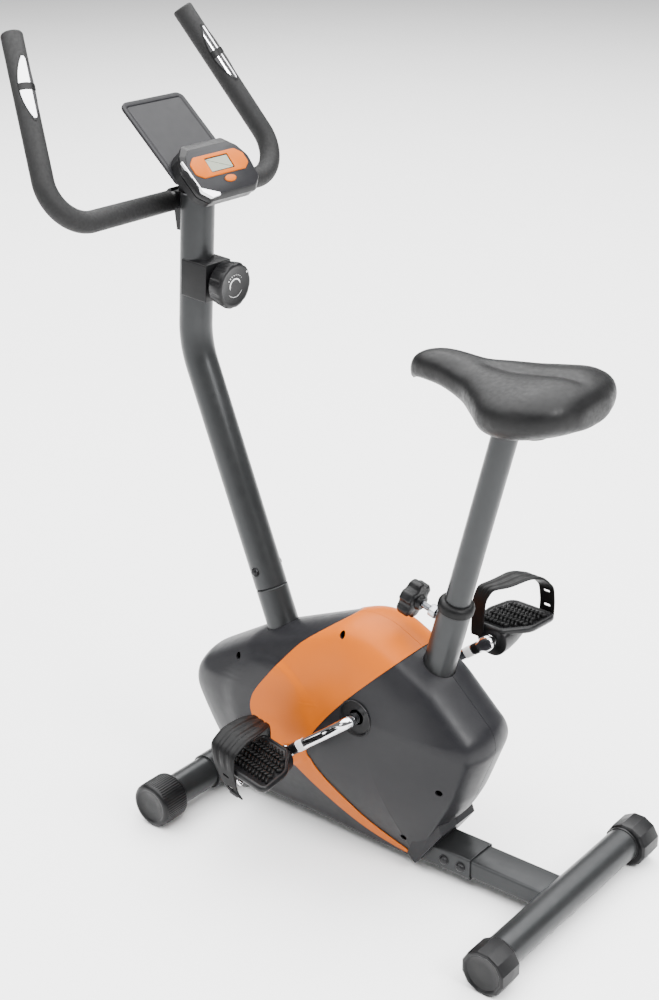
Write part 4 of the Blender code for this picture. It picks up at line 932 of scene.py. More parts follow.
def leaf(start, end, widest):
    """Half angle of a pointed oval between two distances from the bar's end."""
    def wide(reach):
        share = min(max((reach - start) / (end - start), 0.02), 0.98)
        return widest * math.sin(math.pi * share) ** 0.7
    return wide


def make_sensor(word, side):
    frame_shape = leaf(0.0360, 0.1330, 54.0)
    plate_shape = leaf(0.0390, 0.1300, 46.0)
    add_patch(f"{word}_sensor_frame", "black_plastic", side, 0.0362, 0.1328, frame_shape,
              -0.0010, 0.0006, (f"{word}_pulse_sensor",), steps=30)
    add_patch(f"{word}_sensor_upper", "chrome", side, 0.0400, 0.0780, plate_shape, 0.0004, 0.0011)
    add_patch(f"{word}_sensor_lower", "chrome", side, 0.0885, 0.1290, plate_shape, 0.0004, 0.0011)
    add_patch(f"{word}_sensor_band", "black_plastic", side, 0.0788, 0.0877, plate_shape,
              0.0004, 0.0018, steps=6)


def make_handlebar():
    inward = (BAR_CORNER - BAR_END).normalized() * 0.004
    ends = [on_side(BAR_END + inward, side) for side in (1, -1)]
    path = rounded([(ends[0], 0.0), (BAR_CORNER, BAR_BEND_RADIUS),
                    (on_side(BAR_CORNER, -1), BAR_BEND_RADIUS), (ends[1], 0.0)], 16, closed=False)
    add_pipe("bent_bar", path, HANDLEBAR_RADIUS, TUBE_WALL, "powder_coat", "handlebar",
             ("handlebar",))
    for word, side in SIDES:
        make_grip(word, side)
        make_sensor(word, side)
        plug = on_side(BAR_END, side)
        outward = (plug - on_side(BAR_CORNER, side)).normalized()
        add_turned(f"{word}_grip_end", [(0.0005, -0.0034), (0.0105, -0.0034), (0.0122, -0.0038),
                                        (0.0124, -0.0039), (0.0124, -0.0040)],
                   plug, outward, "grip_foam", "handlebar")


make_handlebar()

# ---------------------------------------------------------------- console

PLATE_TOP = Vector((0.3300, 0.0, 1.0735))
PLATE_BOTTOM = Vector((0.2234, 0.0, 0.9745))
PLATE_HALF_WIDTH = 0.0625
PLATE_THICKNESS = 0.0050
FACE_BOTTOM = Vector((0.1765, 0.0, 0.9636))


def sloped_axes(degrees):
    """Axes of a face that slopes up and away from the rider: up along it, and out of it."""
    slope = math.radians(degrees)
    up = Vector((math.cos(slope), 0.0, math.sin(slope)))
    return up, Vector((-up.z, 0.0, up.x))


FACE_AXES = sloped_axes(48.5)
PLATE_AXES = sloped_axes(math.degrees(math.atan2(PLATE_TOP.z - PLATE_BOTTOM.z,
                                                 PLATE_TOP.x - PLATE_BOTTOM.x)))


def on_face(base, axes, outline, height):
    up, out = axes
    return [base + SIDE * point.x + up * point.y + out * height for point in outline]


def face_outline(corners, steps=5, symmetric=True):
    """Round the (side, up, radius) corners of the left half and its mirror image."""
    left = [(Vector((side, up)), radius) for side, up, radius in corners]
    if symmetric:
        left += [(Vector((-point.x, point.y)), radius) for point, radius in reversed(left)]
    return rounded(left, steps)


def inset(outline, distance):
    """A closed outline moved in by a distance."""
    middle = sum(outline, Vector((0.0, 0.0))) / len(outline)
    result = []
    for index, point in enumerate(outline):
        along = outline[(index + 1) % len(outline)] - outline[index - 1]
        inward = Vector((along.y, -along.x)).normalized()
        if inward.dot(middle - point) < 0.0:
            inward = -inward
        result.append(point + inward * distance)
    return result


def add_slab(name, outline, base, axes, low, high, *details, edge=0.0005, **options):
    """An outline raised from low to high above a face, with a rounded upper edge."""
    levels = ((0.0, low), (0.0, high - edge), (edge * 0.3, high - edge * 0.3), (edge, high))
    rings = [on_face(base, axes, inset(outline, step), height) for step, height in levels]
    return add_rings(name, rings, *details, **options)


def make_holder():
    """Tilted plate with a raised rim round a recessed panel."""
    length = (PLATE_TOP - PLATE_BOTTOM).length
    half = PLATE_HALF_WIDTH
    outline = face_outline([(half, 0.0, 0.006), (half - 0.001, length, 0.012)], 8)
    window = inset(outline, 0.0085)
    levels = [(outline, -PLATE_THICKNESS + 0.0008), (outline, -0.0008),
              (inset(outline, 0.0008), -0.0001), (inset(outline, 0.0070), -0.0001),
              (inset(outline, 0.0076), -0.0005), (window, -0.0013)]
    rings = [on_face(PLATE_BOTTOM, PLATE_AXES, shape, height) for shape, height in levels]
    rings.insert(0, on_face(PLATE_BOTTOM, PLATE_AXES, inset(outline, 0.0008), -PLATE_THICKNESS))
    add_rings("tablet_plate", rings, "housing_plastic", "frame", ("device_holder",), sharp=38.0)


def make_case():
    """Console body: from a foot on the holder plate, round a seam, to the face."""
    out = FACE_AXES[1]
    plate_out = PLATE_AXES[1]
    wide = face_outline([(0.046, -0.008, 0.010), (0.062, 0.006, 0.012), (0.0655, 0.045, 0.015),
                         (0.054, 0.068, 0.012), (0.040, 0.082, 0.010)], 6)
    face = face_outline([(0.044, -0.004, 0.010), (0.060, 0.008, 0.012), (0.063, 0.044, 0.015),
                         (0.053, 0.063, 0.010), (0.040, 0.072, 0.008)], 6)

    def foot(outline, gap):
        """The outline dropped straight in from the face onto the holder plate."""
        ring = []
        for point in on_face(FACE_BOTTOM, FACE_AXES, outline, -0.006):
            height = (point - PLATE_BOTTOM).dot(plate_out) - gap
            ring.append(point - out * (height / out.dot(plate_out)))
        return ring

    lip = 0.0040
    rings = [foot(inset(wide, 0.004), 0.0003), foot(inset(wide, 0.0015), 0.0006)]
    for height, step in ((-0.0150, 0.0015), (-0.0142, 0.0030), (-0.0128, 0.0030),
                         (-0.0122, 0.0004), (-0.0110, 0.0), (-0.0070, 0.0), (-0.0055, 0.0010)):
        rings.append(on_face(FACE_BOTTOM, FACE_AXES, inset(wide, step), height))
    rings.append(on_face(FACE_BOTTOM, FACE_AXES, face, -0.0006))
    rings.append(on_face(FACE_BOTTOM, FACE_AXES, inset(face, 0.0008), 0.0))
    rings.append(on_face(FACE_BOTTOM, FACE_AXES, inset(face, lip), 0.0))
    add_rings("console_case", rings, "black_plastic", "frame", ("console_body",), sharp=32.0)
    panel = inset(face, 0.0015)
    add_slab("console_face", panel, FACE_BOTTOM, FACE_AXES, -0.0008, 0.0007, "housing_plastic",
             "frame")


def make_display():
    """Orange surround with a window cut in it, and the framed display behind."""
    bezel = face_outline([(0.0420, 0.0240, 0.006), (0.0540, 0.0320, 0.006),
                          (0.0540, 0.0480, 0.006), (0.0420, 0.0580, 0.006)], 6)
    raised = add_slab("display_surround", bezel, FACE_BOTTOM, FACE_AXES, 0.0003, 0.0024,
                      "orange_plastic", "frame", ("console_bezel",), edge=0.0010)
    window = [point + Vector((0.0, 0.041)) for point in rounded_box(0.0235, 0.0115, 0.0012)]
    opening = [on_face(FACE_BOTTOM, FACE_AXES, window, height) for height in (-0.002, 0.006)]
    cut(raised, [cutter("display_window", opening)])
    finish_edges(raised, 35.0)
    add_edges(raised, 0.0003, 35.0)
    gasket = inset(window, 0.0001)
    add_slab("display_frame", gasket, FACE_BOTTOM, FACE_AXES, 0.0007, 0.0012, "black_plastic",
             "frame", edge=0.0002)
    add_slab("display_glass", inset(window, 0.0016), FACE_BOTTOM, FACE_AXES, 0.0008, 0.0014,
             "screen_glass", "frame", ("console_screen",), edge=0.0001, sharp=10.0)


def make_button():
    """Oval button in its ring, a little right of the middle."""
    seat = FACE_BOTTOM + SIDE * -0.0040 + FACE_AXES[0] * 0.0155
    oval = [Vector((0.0110 * math.cos(turn), 0.0055 * math.sin(turn)))
            for turn in (2.0 * math.pi * step / 48 for step in range(48))]
    add_slab("mode_button", oval, seat, FACE_AXES, -0.0010, 0.0024, "orange_plastic",
             "console_button", ("console_button",), edge=0.0012)
    ring = [on_face(seat, FACE_AXES, [point * scale for point in oval], height)
            for scale, height in ((1.16, 0.0006), (1.14, 0.0011), (1.07, 0.0011), (1.05, 0.0005))]
    add_rings("button_ring", ring, "black_plastic", "frame", looped=True)


def make_trim():
    """Narrow silver strip round the console's lower left corner."""
    strip = [(Vector(point), 0.0004) for point in ((0.0640, 0.0570), (0.0630, 0.0565),
                                                   (0.0592, 0.0120), (0.0300, -0.0015),
                                                   (0.0320, -0.0050), (0.0480, -0.0055),
                                                   (0.0600, 0.0060))]
    trim = rounded(strip, 4)
    rings = [on_face(FACE_BOTTOM, FACE_AXES, shape, height)
             for shape, height in ((trim, -0.0030), (trim, 0.0008), (inset(trim, 0.0004), 0.0012))]
    add_rings("silver_trim", rings, "chrome", "frame", sharp=30.0)


make_holder()
make_case()
make_display()
make_button()
make_trim()

# ---------------------------------------------------------------- knobs, caps and bolts

TENSION_HEIGHT = 0.8280
TENSION_DEPTH = 0.0420
DIAL_FACE_HEIGHT = 0.0323


def printed(name, colour):
    """Matt ink, a little uneven."""
    material, tree, shader, place = new_material(name)
    pale = [channel * 0.9 for channel in colour]
    tree.links.new(add_tint(tree, add_noise(tree, place, 0.002), pale, colour),
                   shader.inputs["Base Color"])
    tree.links.new(add_ramp(tree, add_noise(tree, place, 0.001), 0.45, 0.60),
                   shader.inputs["Roughness"])
    return material


WHITE_INK = printed("white_ink", (0.72, 0.72, 0.72))


def make_tension_box(middle, out):
    """Box on the rider's side of the post, shaped to the tube."""
    tall, half = 0.0280, 0.0260
    outline = rounded_box(half, tall, 0.0030)
    levels = ((-0.0060, 0.0006), (-0.0054, 0.0), (TENSION_DEPTH - 0.0010, 0.0),
              (TENSION_DEPTH - 0.0003, 0.0003), (TENSION_DEPTH, 0.0010))
    rings = []
    for depth, step in levels:
        rings.append([middle + out * depth + SIDE * point.x + POST_UPPER_AXIS * point.y
                      for point in inset(outline, step)])
    box = add_rings("tension_box", rings, "black_plastic", "frame", ("tension_bracket",))
    ends = [middle - POST_UPPER_AXIS * 0.05, middle + POST_UPPER_AXIS * 0.05]
    cut(box, [cutter("post_hole", path_rings(ends, POST_RADIUS + GAP))])
    finish_edges(box, 35.0)


def make_dial(face, across, up, out):
    """Round knob with finger flutes and a raised rim."""
    grips = 10

    def fluted(height, radius, depth=0.0):
        def size_at(turn):
            wave = 0.5 + 0.5 * math.cos(grips * turn)
            return radius - depth * smooth_step(wave, 0.55, 0.95)
        return polar_ring(face + out * height, across, up, 160, size_at)

    levels = ((0.0, 0.0120), (0.0080, 0.0120), (0.0082, 0.0290), (0.0090, 0.0302),
              (0.0110, 0.0318, 0.0012), (0.0270, 0.0342, 0.0018), (0.0295, 0.0340, 0.0014),
              (0.0315, 0.0328, 0.0006), (0.0326, 0.0308), (0.0330, 0.0290), (0.0326, 0.0270),
              (0.0322, 0.0262), (0.0322, 0.0060))
    add_rings("tension_dial", [fluted(*level) for level in levels], "black_plastic",
              "tension_knob", ("tension_knob",), sharp=50.0)


def make_dial_marks(front, across, up, out):
    """Printed marks: a thick and a thin arc, a row of growing dots and a pointer dot."""
    add_arc("dial_arrow", front, across, up, out, 0.0108, 0.0018, 105.0, 290.0)
    add_arc("dial_ring", front, across, up, out, 0.0165, 0.0004, 310.0, 420.0)
    for index in range(8):
        turn = math.radians(130.0 + 15.0 * index)
        spot = front + across * (0.0165 * math.cos(turn)) + up * (0.0165 * math.sin(turn))
        size = 0.0004 + 0.00008 * index
        add_turned(f"dial_dot_{index + 1}", [(0.0001, 0.0), (size, 0.0), (size, 0.0002),
                                             (0.0001, 0.0002)],
                   spot, out, "black_plastic", "tension_knob", segments=20, material=WHITE_INK)
    turn = math.radians(125.0)
    pointer = front + (across * math.cos(turn) + up * math.sin(turn)) * 0.0292 + out * 0.0004
    add_turned("dial_pointer", [(0.0001, 0.0), (0.0014, 0.0), (0.0014, 0.0003), (0.0001, 0.0003)],
               pointer, out, "black_plastic", "tension_knob", segments=24, material=WHITE_INK)


def add_arc(name, centre, across, up, out, radius, width, first, last):
    """Thin printed arc on a flat face, its ends tapered."""
    steps = 48
    rings = []
    for step in range(steps + 1):
        share = step / steps
        turn = math.radians(first + (last - first) * share)
        reach = width / 2.0 * min(1.0, 0.25 + 6.0 * min(share, 1.0 - share))
        direction = across * math.cos(turn) + up * math.sin(turn)
        rings.append([centre + direction * (radius + reach) + out * 0.0002,
                      centre + direction * (radius - reach) + out * 0.0002,
                      centre + direction * (radius - reach),
                      centre + direction * (radius + reach)])
    add_rings(name, rings, "black_plastic", "tension_knob", material=WHITE_INK)


def make_seat_knob():
    """Six-lobed knob on its threaded pin, and the nut on the seat tube."""
    outward = Vector((SEAT_AXIS.z, 0.0, -SEAT_AXIS.x))
    middle = at_height(SEAT_POINT, SEAT_AXIS, 0.4060)
    across, up = frame_for(outward)
    reach = 0.0640

    def lobed(height, radius, depth=0.0):
        def size_at(turn):
            wave = 0.5 + 0.5 * math.cos(6.0 * turn)
            return radius + depth * (2.0 * smooth_step(wave, 0.0, 0.75) - 1.0)
        return polar_ring(middle + outward * (reach + height), across, up, 144, size_at)

    levels = ((-0.0130, 0.0050), (-0.0130, 0.0096), (-0.0122, 0.0104), (-0.0070, 0.0120),
              (-0.0064, 0.0215, 0.0016), (-0.0055, 0.0240, 0.0022), (-0.0035, 0.0254, 0.0026),
              (0.0100, 0.0256, 0.0026), (0.0130, 0.0246, 0.0022), (0.0144, 0.0222, 0.0016),
              (0.0148, 0.0160), (0.0140, 0.0120))
    add_rings("star_knob", [lobed(*level) for level in levels], "black_plastic", "seat_knob",
              ("seat_knob",), sharp=45.0)

    profile = [(0.0010, 0.0190), (0.0034, 0.0190)]
    height = 0.0200
    while height < reach - 0.0135:
        profile += [(0.0048, height), (0.0040, height + 0.0005)]
        height += 0.0010
    profile += [(0.0045, reach - 0.0132), (0.0010, reach - 0.0132)]
    add_turned("knob_thread", profile, middle, outward, "steel", "seat_knob", segments=32,
               sharp=70.0)

    start = SEAT_TUBE_RADIUS + 0.0021
    nut = []
    for height, radius in ((start, 0.0094), (start + 0.0006, 0.0100), (start + 0.0098, 0.0100),
                           (start + 0.0108, 0.0092)):
        nut.append(hexagon(middle + outward * height, across, up, radius, 0.35))
    bore = [circle(middle + outward * height, across, up, 0.0053, 48)
            for height in (start + 0.0108, start)]
    add_rings("pin_nut", nut + bore, "steel", "frame", ("seat_pin_nut",), looped=True)


def hexagon(centre, across, up, radius, softness):
    """A hexagon of 48 points. A softness of 1 makes it a circle."""
    def size_at(turn):
        flat = (turn % (math.pi / 3.0)) - math.pi / 6.0
        return radius * (softness + (1.0 - softness) * math.cos(math.pi / 6.0) / math.cos(flat))
    return polar_ring(centre, across, up, 48, size_at)


def make_level_cap(word, side):
    """Twelve-sided levelling cap with a dished face."""
    face = side * 0.2080
    rim = side * 0.1640
    apothem = 0.0340 * math.cos(math.pi / 12)
    middle = Vector((REAR_BAR_X - 0.0030, 0.0, apothem))
    bore = Vector((REAR_BAR_X, 0.0, BAR_HEIGHT))

    def ring(y, radius, softness=0.0):
        def size_at(turn):
            corner = (turn + math.pi / 2.0 + math.pi / 12.0) % (math.pi / 6.0) - math.pi / 12.0
            polygon = math.cos(math.pi / 12.0) / math.cos(corner)
            return radius * (softness + (1.0 - softness) * polygon)
        return polar_ring(middle + SIDE * y, AHEAD, LEVEL, 96, size_at)

    def bore_ring(y, radius):
        return circle(bore + SIDE * y, AHEAD, LEVEL, radius, 96)

    rings = [ring(face - side * 0.0042, 0.0120, 1.0), ring(face - side * 0.0040, 0.0200, 1.0),
             ring(face - side * 0.0024, 0.0256, 0.8), ring(face - side * 0.0004, 0.0280, 0.3),
             ring(face, 0.0292), ring(face - side * 0.0003, 0.0318),
             ring(face - side * 0.0016, 0.0334),
             ring(face - side * 0.0035, 0.0340), ring(rim + side * 0.0060, 0.0340),
             ring(rim + side * 0.0030, 0.0334), ring(rim + side * 0.0006, 0.0312),
             ring(rim, 0.0300), bore_ring(rim, 0.0266), bore_ring(rim - side * 0.0030, 0.0262),
             bore_ring(rim - side * 0.0034, BAR_RADIUS + GAP),
             bore_ring(face - side * 0.0060, BAR_RADIUS + GAP)]
    add_rings(f"{word}_foot_cap", rings, "black_plastic", f"{word}_level_cap",
              (f"{word}_level_cap",), sharp=25.0)


def make_roller_cap(word, side):
    """Round cap with fine ribs along it, which rolls on the bar's end."""
    face, rim = 0.1935, 0.1435
    centre = Vector((FRONT_BAR_X, 0.0, BAR_HEIGHT))
    ribs = 56

    def ring(y, radius, depth=0.0):
        def size_at(turn):
            return radius - depth * (0.5 - 0.5 * math.cos(ribs * turn))
        return polar_ring(centre + SIDE * (side * y), AHEAD, LEVEL, ribs * 6, size_at)

    outer = 0.0354
    rings = [ring(face - 0.0030, 0.0100), ring(face - 0.0026, 0.0240),
             ring(face - 0.0010, 0.0262), ring(face, 0.0280), ring(face - 0.0004, 0.0308),
             ring(face - 0.0022, outer - 0.0018), ring(face - 0.0050, outer - 0.0004),
             ring(face - 0.0080, outer, 0.0009), ring(rim + 0.0060, outer, 0.0009),
             ring(rim + 0.0030, outer - 0.0010), ring(rim, outer - 0.0034),
             ring(rim, BAR_RADIUS + GAP), ring(face - 0.0060, BAR_RADIUS + GAP)]
    add_rings(f"{word}_wheel_cap", rings, "black_plastic", f"{word}_roller_cap",
              (f"{word}_roller_cap",), sharp=50.0)


def add_dome_bolt(name, centre, outward, radius, body, stands_for=()):
    """Button head with a hexagon socket, over a flat washer."""
    across, up = frame_for(outward)
    rings = [circle(centre, across, up, radius * 1.22, 48),
             circle(centre + outward * 0.0009, across, up, radius * 1.22, 48),
             circle(centre + outward * 0.0011, across, up, radius * 1.16, 48),
             circle(centre + outward * 0.0011, across, up, radius, 48)]
    for share in (0.25, 0.5, 0.72, 0.88):
        tall = 0.0011 + 0.0040 * math.sin(share * math.pi / 2.0)
        rings.append(circle(centre + outward * tall, across, up,
                            radius * math.cos(share * math.pi / 2.0) ** 0.7, 48))
    rings.append(hexagon(centre + outward * 0.0051, across, up, radius * 0.42, 0.0))
    rings.append(hexagon(centre + outward * 0.0022, across, up, radius * 0.38, 0.0))
    add_rings(name, rings, "black_steel", body, stands_for, sharp=35.0)


def make_bolts():
    for index, x in enumerate((-0.2165, -0.2457), start=1):
        for word, side in SIDES:
            add_dome_bolt(f"beam_bolt_{index}_{word}", Vector((x, side * 0.0293, 0.0345)),
                          SIDE * side, 0.0066, "frame")
    spot = at_height(POST_LOWER_POINT, POST_LOWER_AXIS, 0.3930)
    for word, side in SIDES:
        add_dome_bolt(f"post_bolt_{word}", spot + SIDE * side * (POST_RADIUS - 0.0006),
                      SIDE * side, 0.0056, "frame")


def make_tension_control():
    middle = at_height(POST_UPPER_POINT, POST_UPPER_AXIS, TENSION_HEIGHT)
    out = Vector((-POST_UPPER_AXIS.z, 0.0, POST_UPPER_AXIS.x))
    make_tension_box(middle, out)
    face = middle + out * (TENSION_DEPTH + GAP)
    across, up = frame_for(out)
    make_dial(face, across, up, out)
    make_dial_marks(face + out * DIAL_FACE_HEIGHT, across, up, out)


make_tension_control()
make_seat_knob()
for word, side in SIDES:
    make_level_cap(word, side)
    make_roller_cap(word, side)
make_bolts()

# ---------------------------------------------------------------- cranks and pedals

CRANK_LENGTH = 0.1307
CRANK_ANGLE = -37.5
CRANK_EYE_Y = 0.1076
EYE_RADIUS = 0.0118
PEDAL_INNER = 0.0105
PEDAL_OUTER = 0.1090
SPINDLE_ROOM_RADIUS = 0.0090
LEFT_STRAP = (Vector((0.032, 0.0080, -0.004, 0.022)), Vector((0.038, 0.0080, 0.026, 0.022)),
              Vector((0.040, 0.0180, 0.046, 0.034)), Vector((0.034, 0.0500, 0.056, 0.046)),
              Vector((0.032, 0.0880, 0.059, 0.048)), Vector((0.032, 0.1115, 0.044, 0.046)),
              Vector((0.024, 0.1130, 0.018, 0.041)), Vector((0.004, 0.1135, -0.008, 0.026)),
              Vector((-0.008, 0.1132, -0.014, 0.024)))
RIGHT_STRAP = (Vector((0.024, 0.0080, 0.000, 0.022)), Vector((0.024, 0.0080, 0.058, 0.023)),
               Vector((0.018, 0.0140, 0.078, 0.027)), Vector((0.006, 0.0360, 0.080, 0.036)),
               Vector((-0.006, 0.0680, 0.086, 0.040)), Vector((-0.018, 0.0900, 0.080, 0.034)),
               Vector((-0.028, 0.1080, 0.062, 0.027)), Vector((-0.030, 0.1110, 0.036, 0.026)),
               Vector((-0.030, 0.1110, 0.006, 0.026)))


def crank_direction(side):
    angle = math.radians(CRANK_ANGLE) + (0.0 if side > 0 else math.pi)
    return Vector((math.cos(angle), 0.0, math.sin(angle)))


def crank_path(side):
    """Middle of the bent bar: out of the housing, round a bend, and down to the pedal."""
    along = crank_direction(side)
    outward = SIDE * side
    corners = [(CRANK + outward * 0.0600, 0.0), (CRANK + outward * 0.0910, 0.0150),
               (CRANK + along * 0.0450 + outward * 0.0985, 0.0600),
               (CRANK + along * (CRANK_LENGTH + EYE_RADIUS) + outward * CRANK_EYE_Y, 0.0)]
    return spaced(rounded(corners, 12, closed=False), 0.0010, closed=False)


def crank_section(point, tangent, square, reach, swell):
    """Section of the bar: round where it leaves the housing, flatter along the arm."""
    flat = smooth_step(reach, 0.006, 0.040)
    half = 0.0090 - 0.0008 * flat
    past = reach - CRANK_LENGTH
    if past > -0.014:
        half += (EYE_RADIUS - half) * smooth_step(past, -0.014, -0.004)
    if past > 0.0:
        half = math.sqrt(max(EYE_RADIUS ** 2 - past ** 2, 0.0006 ** 2))
    thick = min(0.0090 - 0.0028 * flat, half + 0.001) + swell
    power = 1.0 - 0.30 * flat
    ring = []
    for index in range(40):
        turn = 2.0 * math.pi * index / 40
        u = squared(math.cos(turn), power) * (half + swell)
        v = squared(math.sin(turn), power) * thick
        ring.append(point + square * u + tangent.cross(square) * v)
    return ring


def make_crank_arm(word, side):
    """Bent chrome bar with round edges, a pale band printed round it near the pedal, and next to it
    a black band that is a painted reflection in the chrome.
    """
    along = crank_direction(side)
    square = Vector((-along.z, 0.0, along.x))
    path = crank_path(side)

    def reach_of(point):
        return (point - CRANK).dot(along)

    def section(index, swell):
        before, after = path[max(index - 1, 0)], path[min(index + 1, len(path) - 1)]
        return crank_section(path[index], (after - before).normalized(), square,
                             reach_of(path[index]), swell)

    rings = [section(index, 0.0) for index in range(len(path))]
    add_rings(f"{word}_crank_arm", rings, "chrome", "crank",
              (f"{word}_crank", f"{word}_crank_bolt"), sharp=55.0)
    # The second band is a painted reflection: black plastic standing in for the dark mirror image
    # the chrome shows next to the eye
    for band, start, end, material in (("pale", 0.0880, 0.1025, WHITE_INK),
                                       ("painted_reflection", 0.1040, 0.1150, None)):
        covered = [index for index, point in enumerate(path) if start <= reach_of(point) <= end]
        middle = [section(index, 0.0003) for index in covered]
        rings = [section(covered[0], 0.0)] + middle + [section(covered[-1], 0.0)]
        add_rings(f"{word}_crank_{band}_band", rings, "black_plastic", "crank", material=material)
    return CRANK + along * CRANK_LENGTH


def pedal_frame(eye, side, tilt):
    """A function from (forward, outward, up) at the eye to a place in the world."""
    centre = Vector((eye.x, side * CRANK_EYE_Y, eye.z))
    turn = Matrix.Rotation(math.radians(-tilt), 3, "Y")

    def spot(forward, outward, up):
        return centre + turn @ Vector((forward, 0.0, up)) + SIDE * side * outward
    return centre, spot


def inside(outline, point):
    """Whether a 2D point lies inside a closed outline."""
    hit = False
    for index, a in enumerate(outline):
        b = outline[index - 1]
        if (a.y > point.y) != (b.y > point.y):
            if point.x < (b.x - a.x) * (point.y - a.y) / (b.y - a.y) + a.x:
                hit = not hit
    return hit


def make_pedal(word, side, eye, tilt, strap, slots):
    """Platform with a raised rim, the pieces fixed to it, and the spindle in the crank."""
    centre, spot = pedal_frame(eye, side, tilt)
    plan = spaced(rounded([(Vector((-0.014, PEDAL_INNER)), 0.010), (Vector((-0.045, 0.050)), 0.035),
                           (Vector((-0.050, PEDAL_OUTER)), 0.012),
                           (Vector((0.030, PEDAL_OUTER)), 0.020),
                           (Vector((0.042, 0.060)), 0.040), (Vector((0.036, PEDAL_INNER)), 0.010)],
                          8), 0.0025)
    rings = []
    for step, height in ((0.0105, 0.0088), (0.0050, 0.0091), (0.0022, 0.0105), (0.0006, 0.0130),
                         (0.0, 0.0158), (0.0006, 0.0186), (0.0022, 0.0206), (0.0042, 0.0212),
                         (0.0058, 0.0207), (0.0064, 0.0192), (0.0070, 0.0188)):
        rings.append([spot(point.x, point.y, height) for point in inset(plan, step)])
    add_rings(f"{word}_platform", rings, "black_plastic", f"{word}_pedal", (f"{word}_pedal",),
              sharp=60.0)

    make_barrel(word, side, centre, spot)
    make_studs(word, side, spot, plan)
    make_strap(word, spot, strap, slots)

    spindle = [(0.0010, 0.0058), (0.0090, 0.0058), (0.0096, 0.0064), (0.0096, 0.0088),
               (0.0086, 0.0096), (0.0050, 0.0098), (0.0050, 0.1020), (0.0010, 0.1025)]
    add_turned(f"{word}_spindle", spindle, centre, SIDE * side, "chrome", "crank",
               (f"{word}_pedal_spindle",), segments=48)


def make_barrel(word, side, centre, spot):
    """The tapered middle of the pedal, flat on top, with room for the spindle."""
    ends = ((PEDAL_INNER, 0.0236), (PEDAL_INNER + 0.0014, 0.0252), (0.030, 0.0248),
            (0.050, 0.0225), (0.070, 0.0185), (0.088, 0.0140), (0.0935, 0.0120), (0.0945, 0.0100))
    barrel = []
    for outward, radius in ends:
        ring = []
        for index in range(48):
            turn = 2.0 * math.pi * index / 48
            up = min(radius * math.sin(turn), 0.0150)
            ring.append(spot(radius * math.cos(turn), outward, up))
        barrel.append(ring)
    shaft = [centre + SIDE * side * reach for reach in (0.0, 0.0200)]
    housing = add_rings(f"{word}_barrel", barrel, "black_plastic", f"{word}_pedal", sharp=50.0)
    cut(housing, [cutter("spindle_room", path_rings(shaft, SPINDLE_ROOM_RADIUS))])
    finish_edges(housing, 50.0)


def make_studs(word, side, spot, plan):
    """Staggered rows of slanted rubber studs, as one piece."""
    vertices, faces = [], []
    field = inset(plan, 0.0095)
    rows = 9
    for row in range(rows):
        outward = 0.0185 + row * 0.0102
        for column in range(-7, 8):
            forward = -0.003 + column * 0.0064 + (0.0032 if row % 2 else 0.0)
            if not inside(field, Vector((forward, outward))):
                continue
            lean = math.radians(24.0 if row % 2 else -24.0)
            tall = 0.0238 + 0.0006 * noise(Vector((forward * 90.0, outward * 90.0, side)))
            first = len(vertices)
            for height, long, wide in ((0.0186, 0.0052, 0.0024), (tall - 0.0008, 0.0047, 0.0019),
                                       (tall, 0.0040, 0.0012)):
                for index in range(12):
                    turn = 2.0 * math.pi * index / 12
                    y = squared(math.cos(turn), 0.7) * long
                    x = squared(math.sin(turn), 0.7) * wide
                    vertices.append(spot(forward + x * math.cos(lean) - y * math.sin(lean),
                                         outward + x * math.sin(lean) + y * math.cos(lean), height))
            for level in (0, 12):
                for index in range(12):
                    after = (index + 1) % 12
                    faces.append((first + level + index, first + level + after,
                                  first + level + 12 + after, first + level + 12 + index))
            faces.append(tuple(range(first, first + 12)))
            faces.append(tuple(range(first + 24, first + 36)))
    add_piece(f"{word}_studs", vertices, faces, "black_rubber", f"{word}_pedal", sharp=60.0)


def strap_route(strap, side_steps=8):
    route = []
    for start, end in zip(strap, strap[1:]):
        route += [start.lerp(end, step / side_steps) for step in range(side_steps)]
    route.append(strap[-1].copy())
    for _ in range(5):
        inner = [(route[i - 1] + route[i] * 2.0 + route[i + 1]) / 4.0
                 for i in range(1, len(route) - 1)]
        route = [route[0]] + inner + [route[-1]]
    return route


def round_edge(u):
    """The strap's thickness across its width, u from -1 to 1: full, then round at the edges."""
    return math.sqrt(max(1.0 - max(abs(u) - 0.94, 0.0) ** 2 / 0.06 ** 2, 0.0))


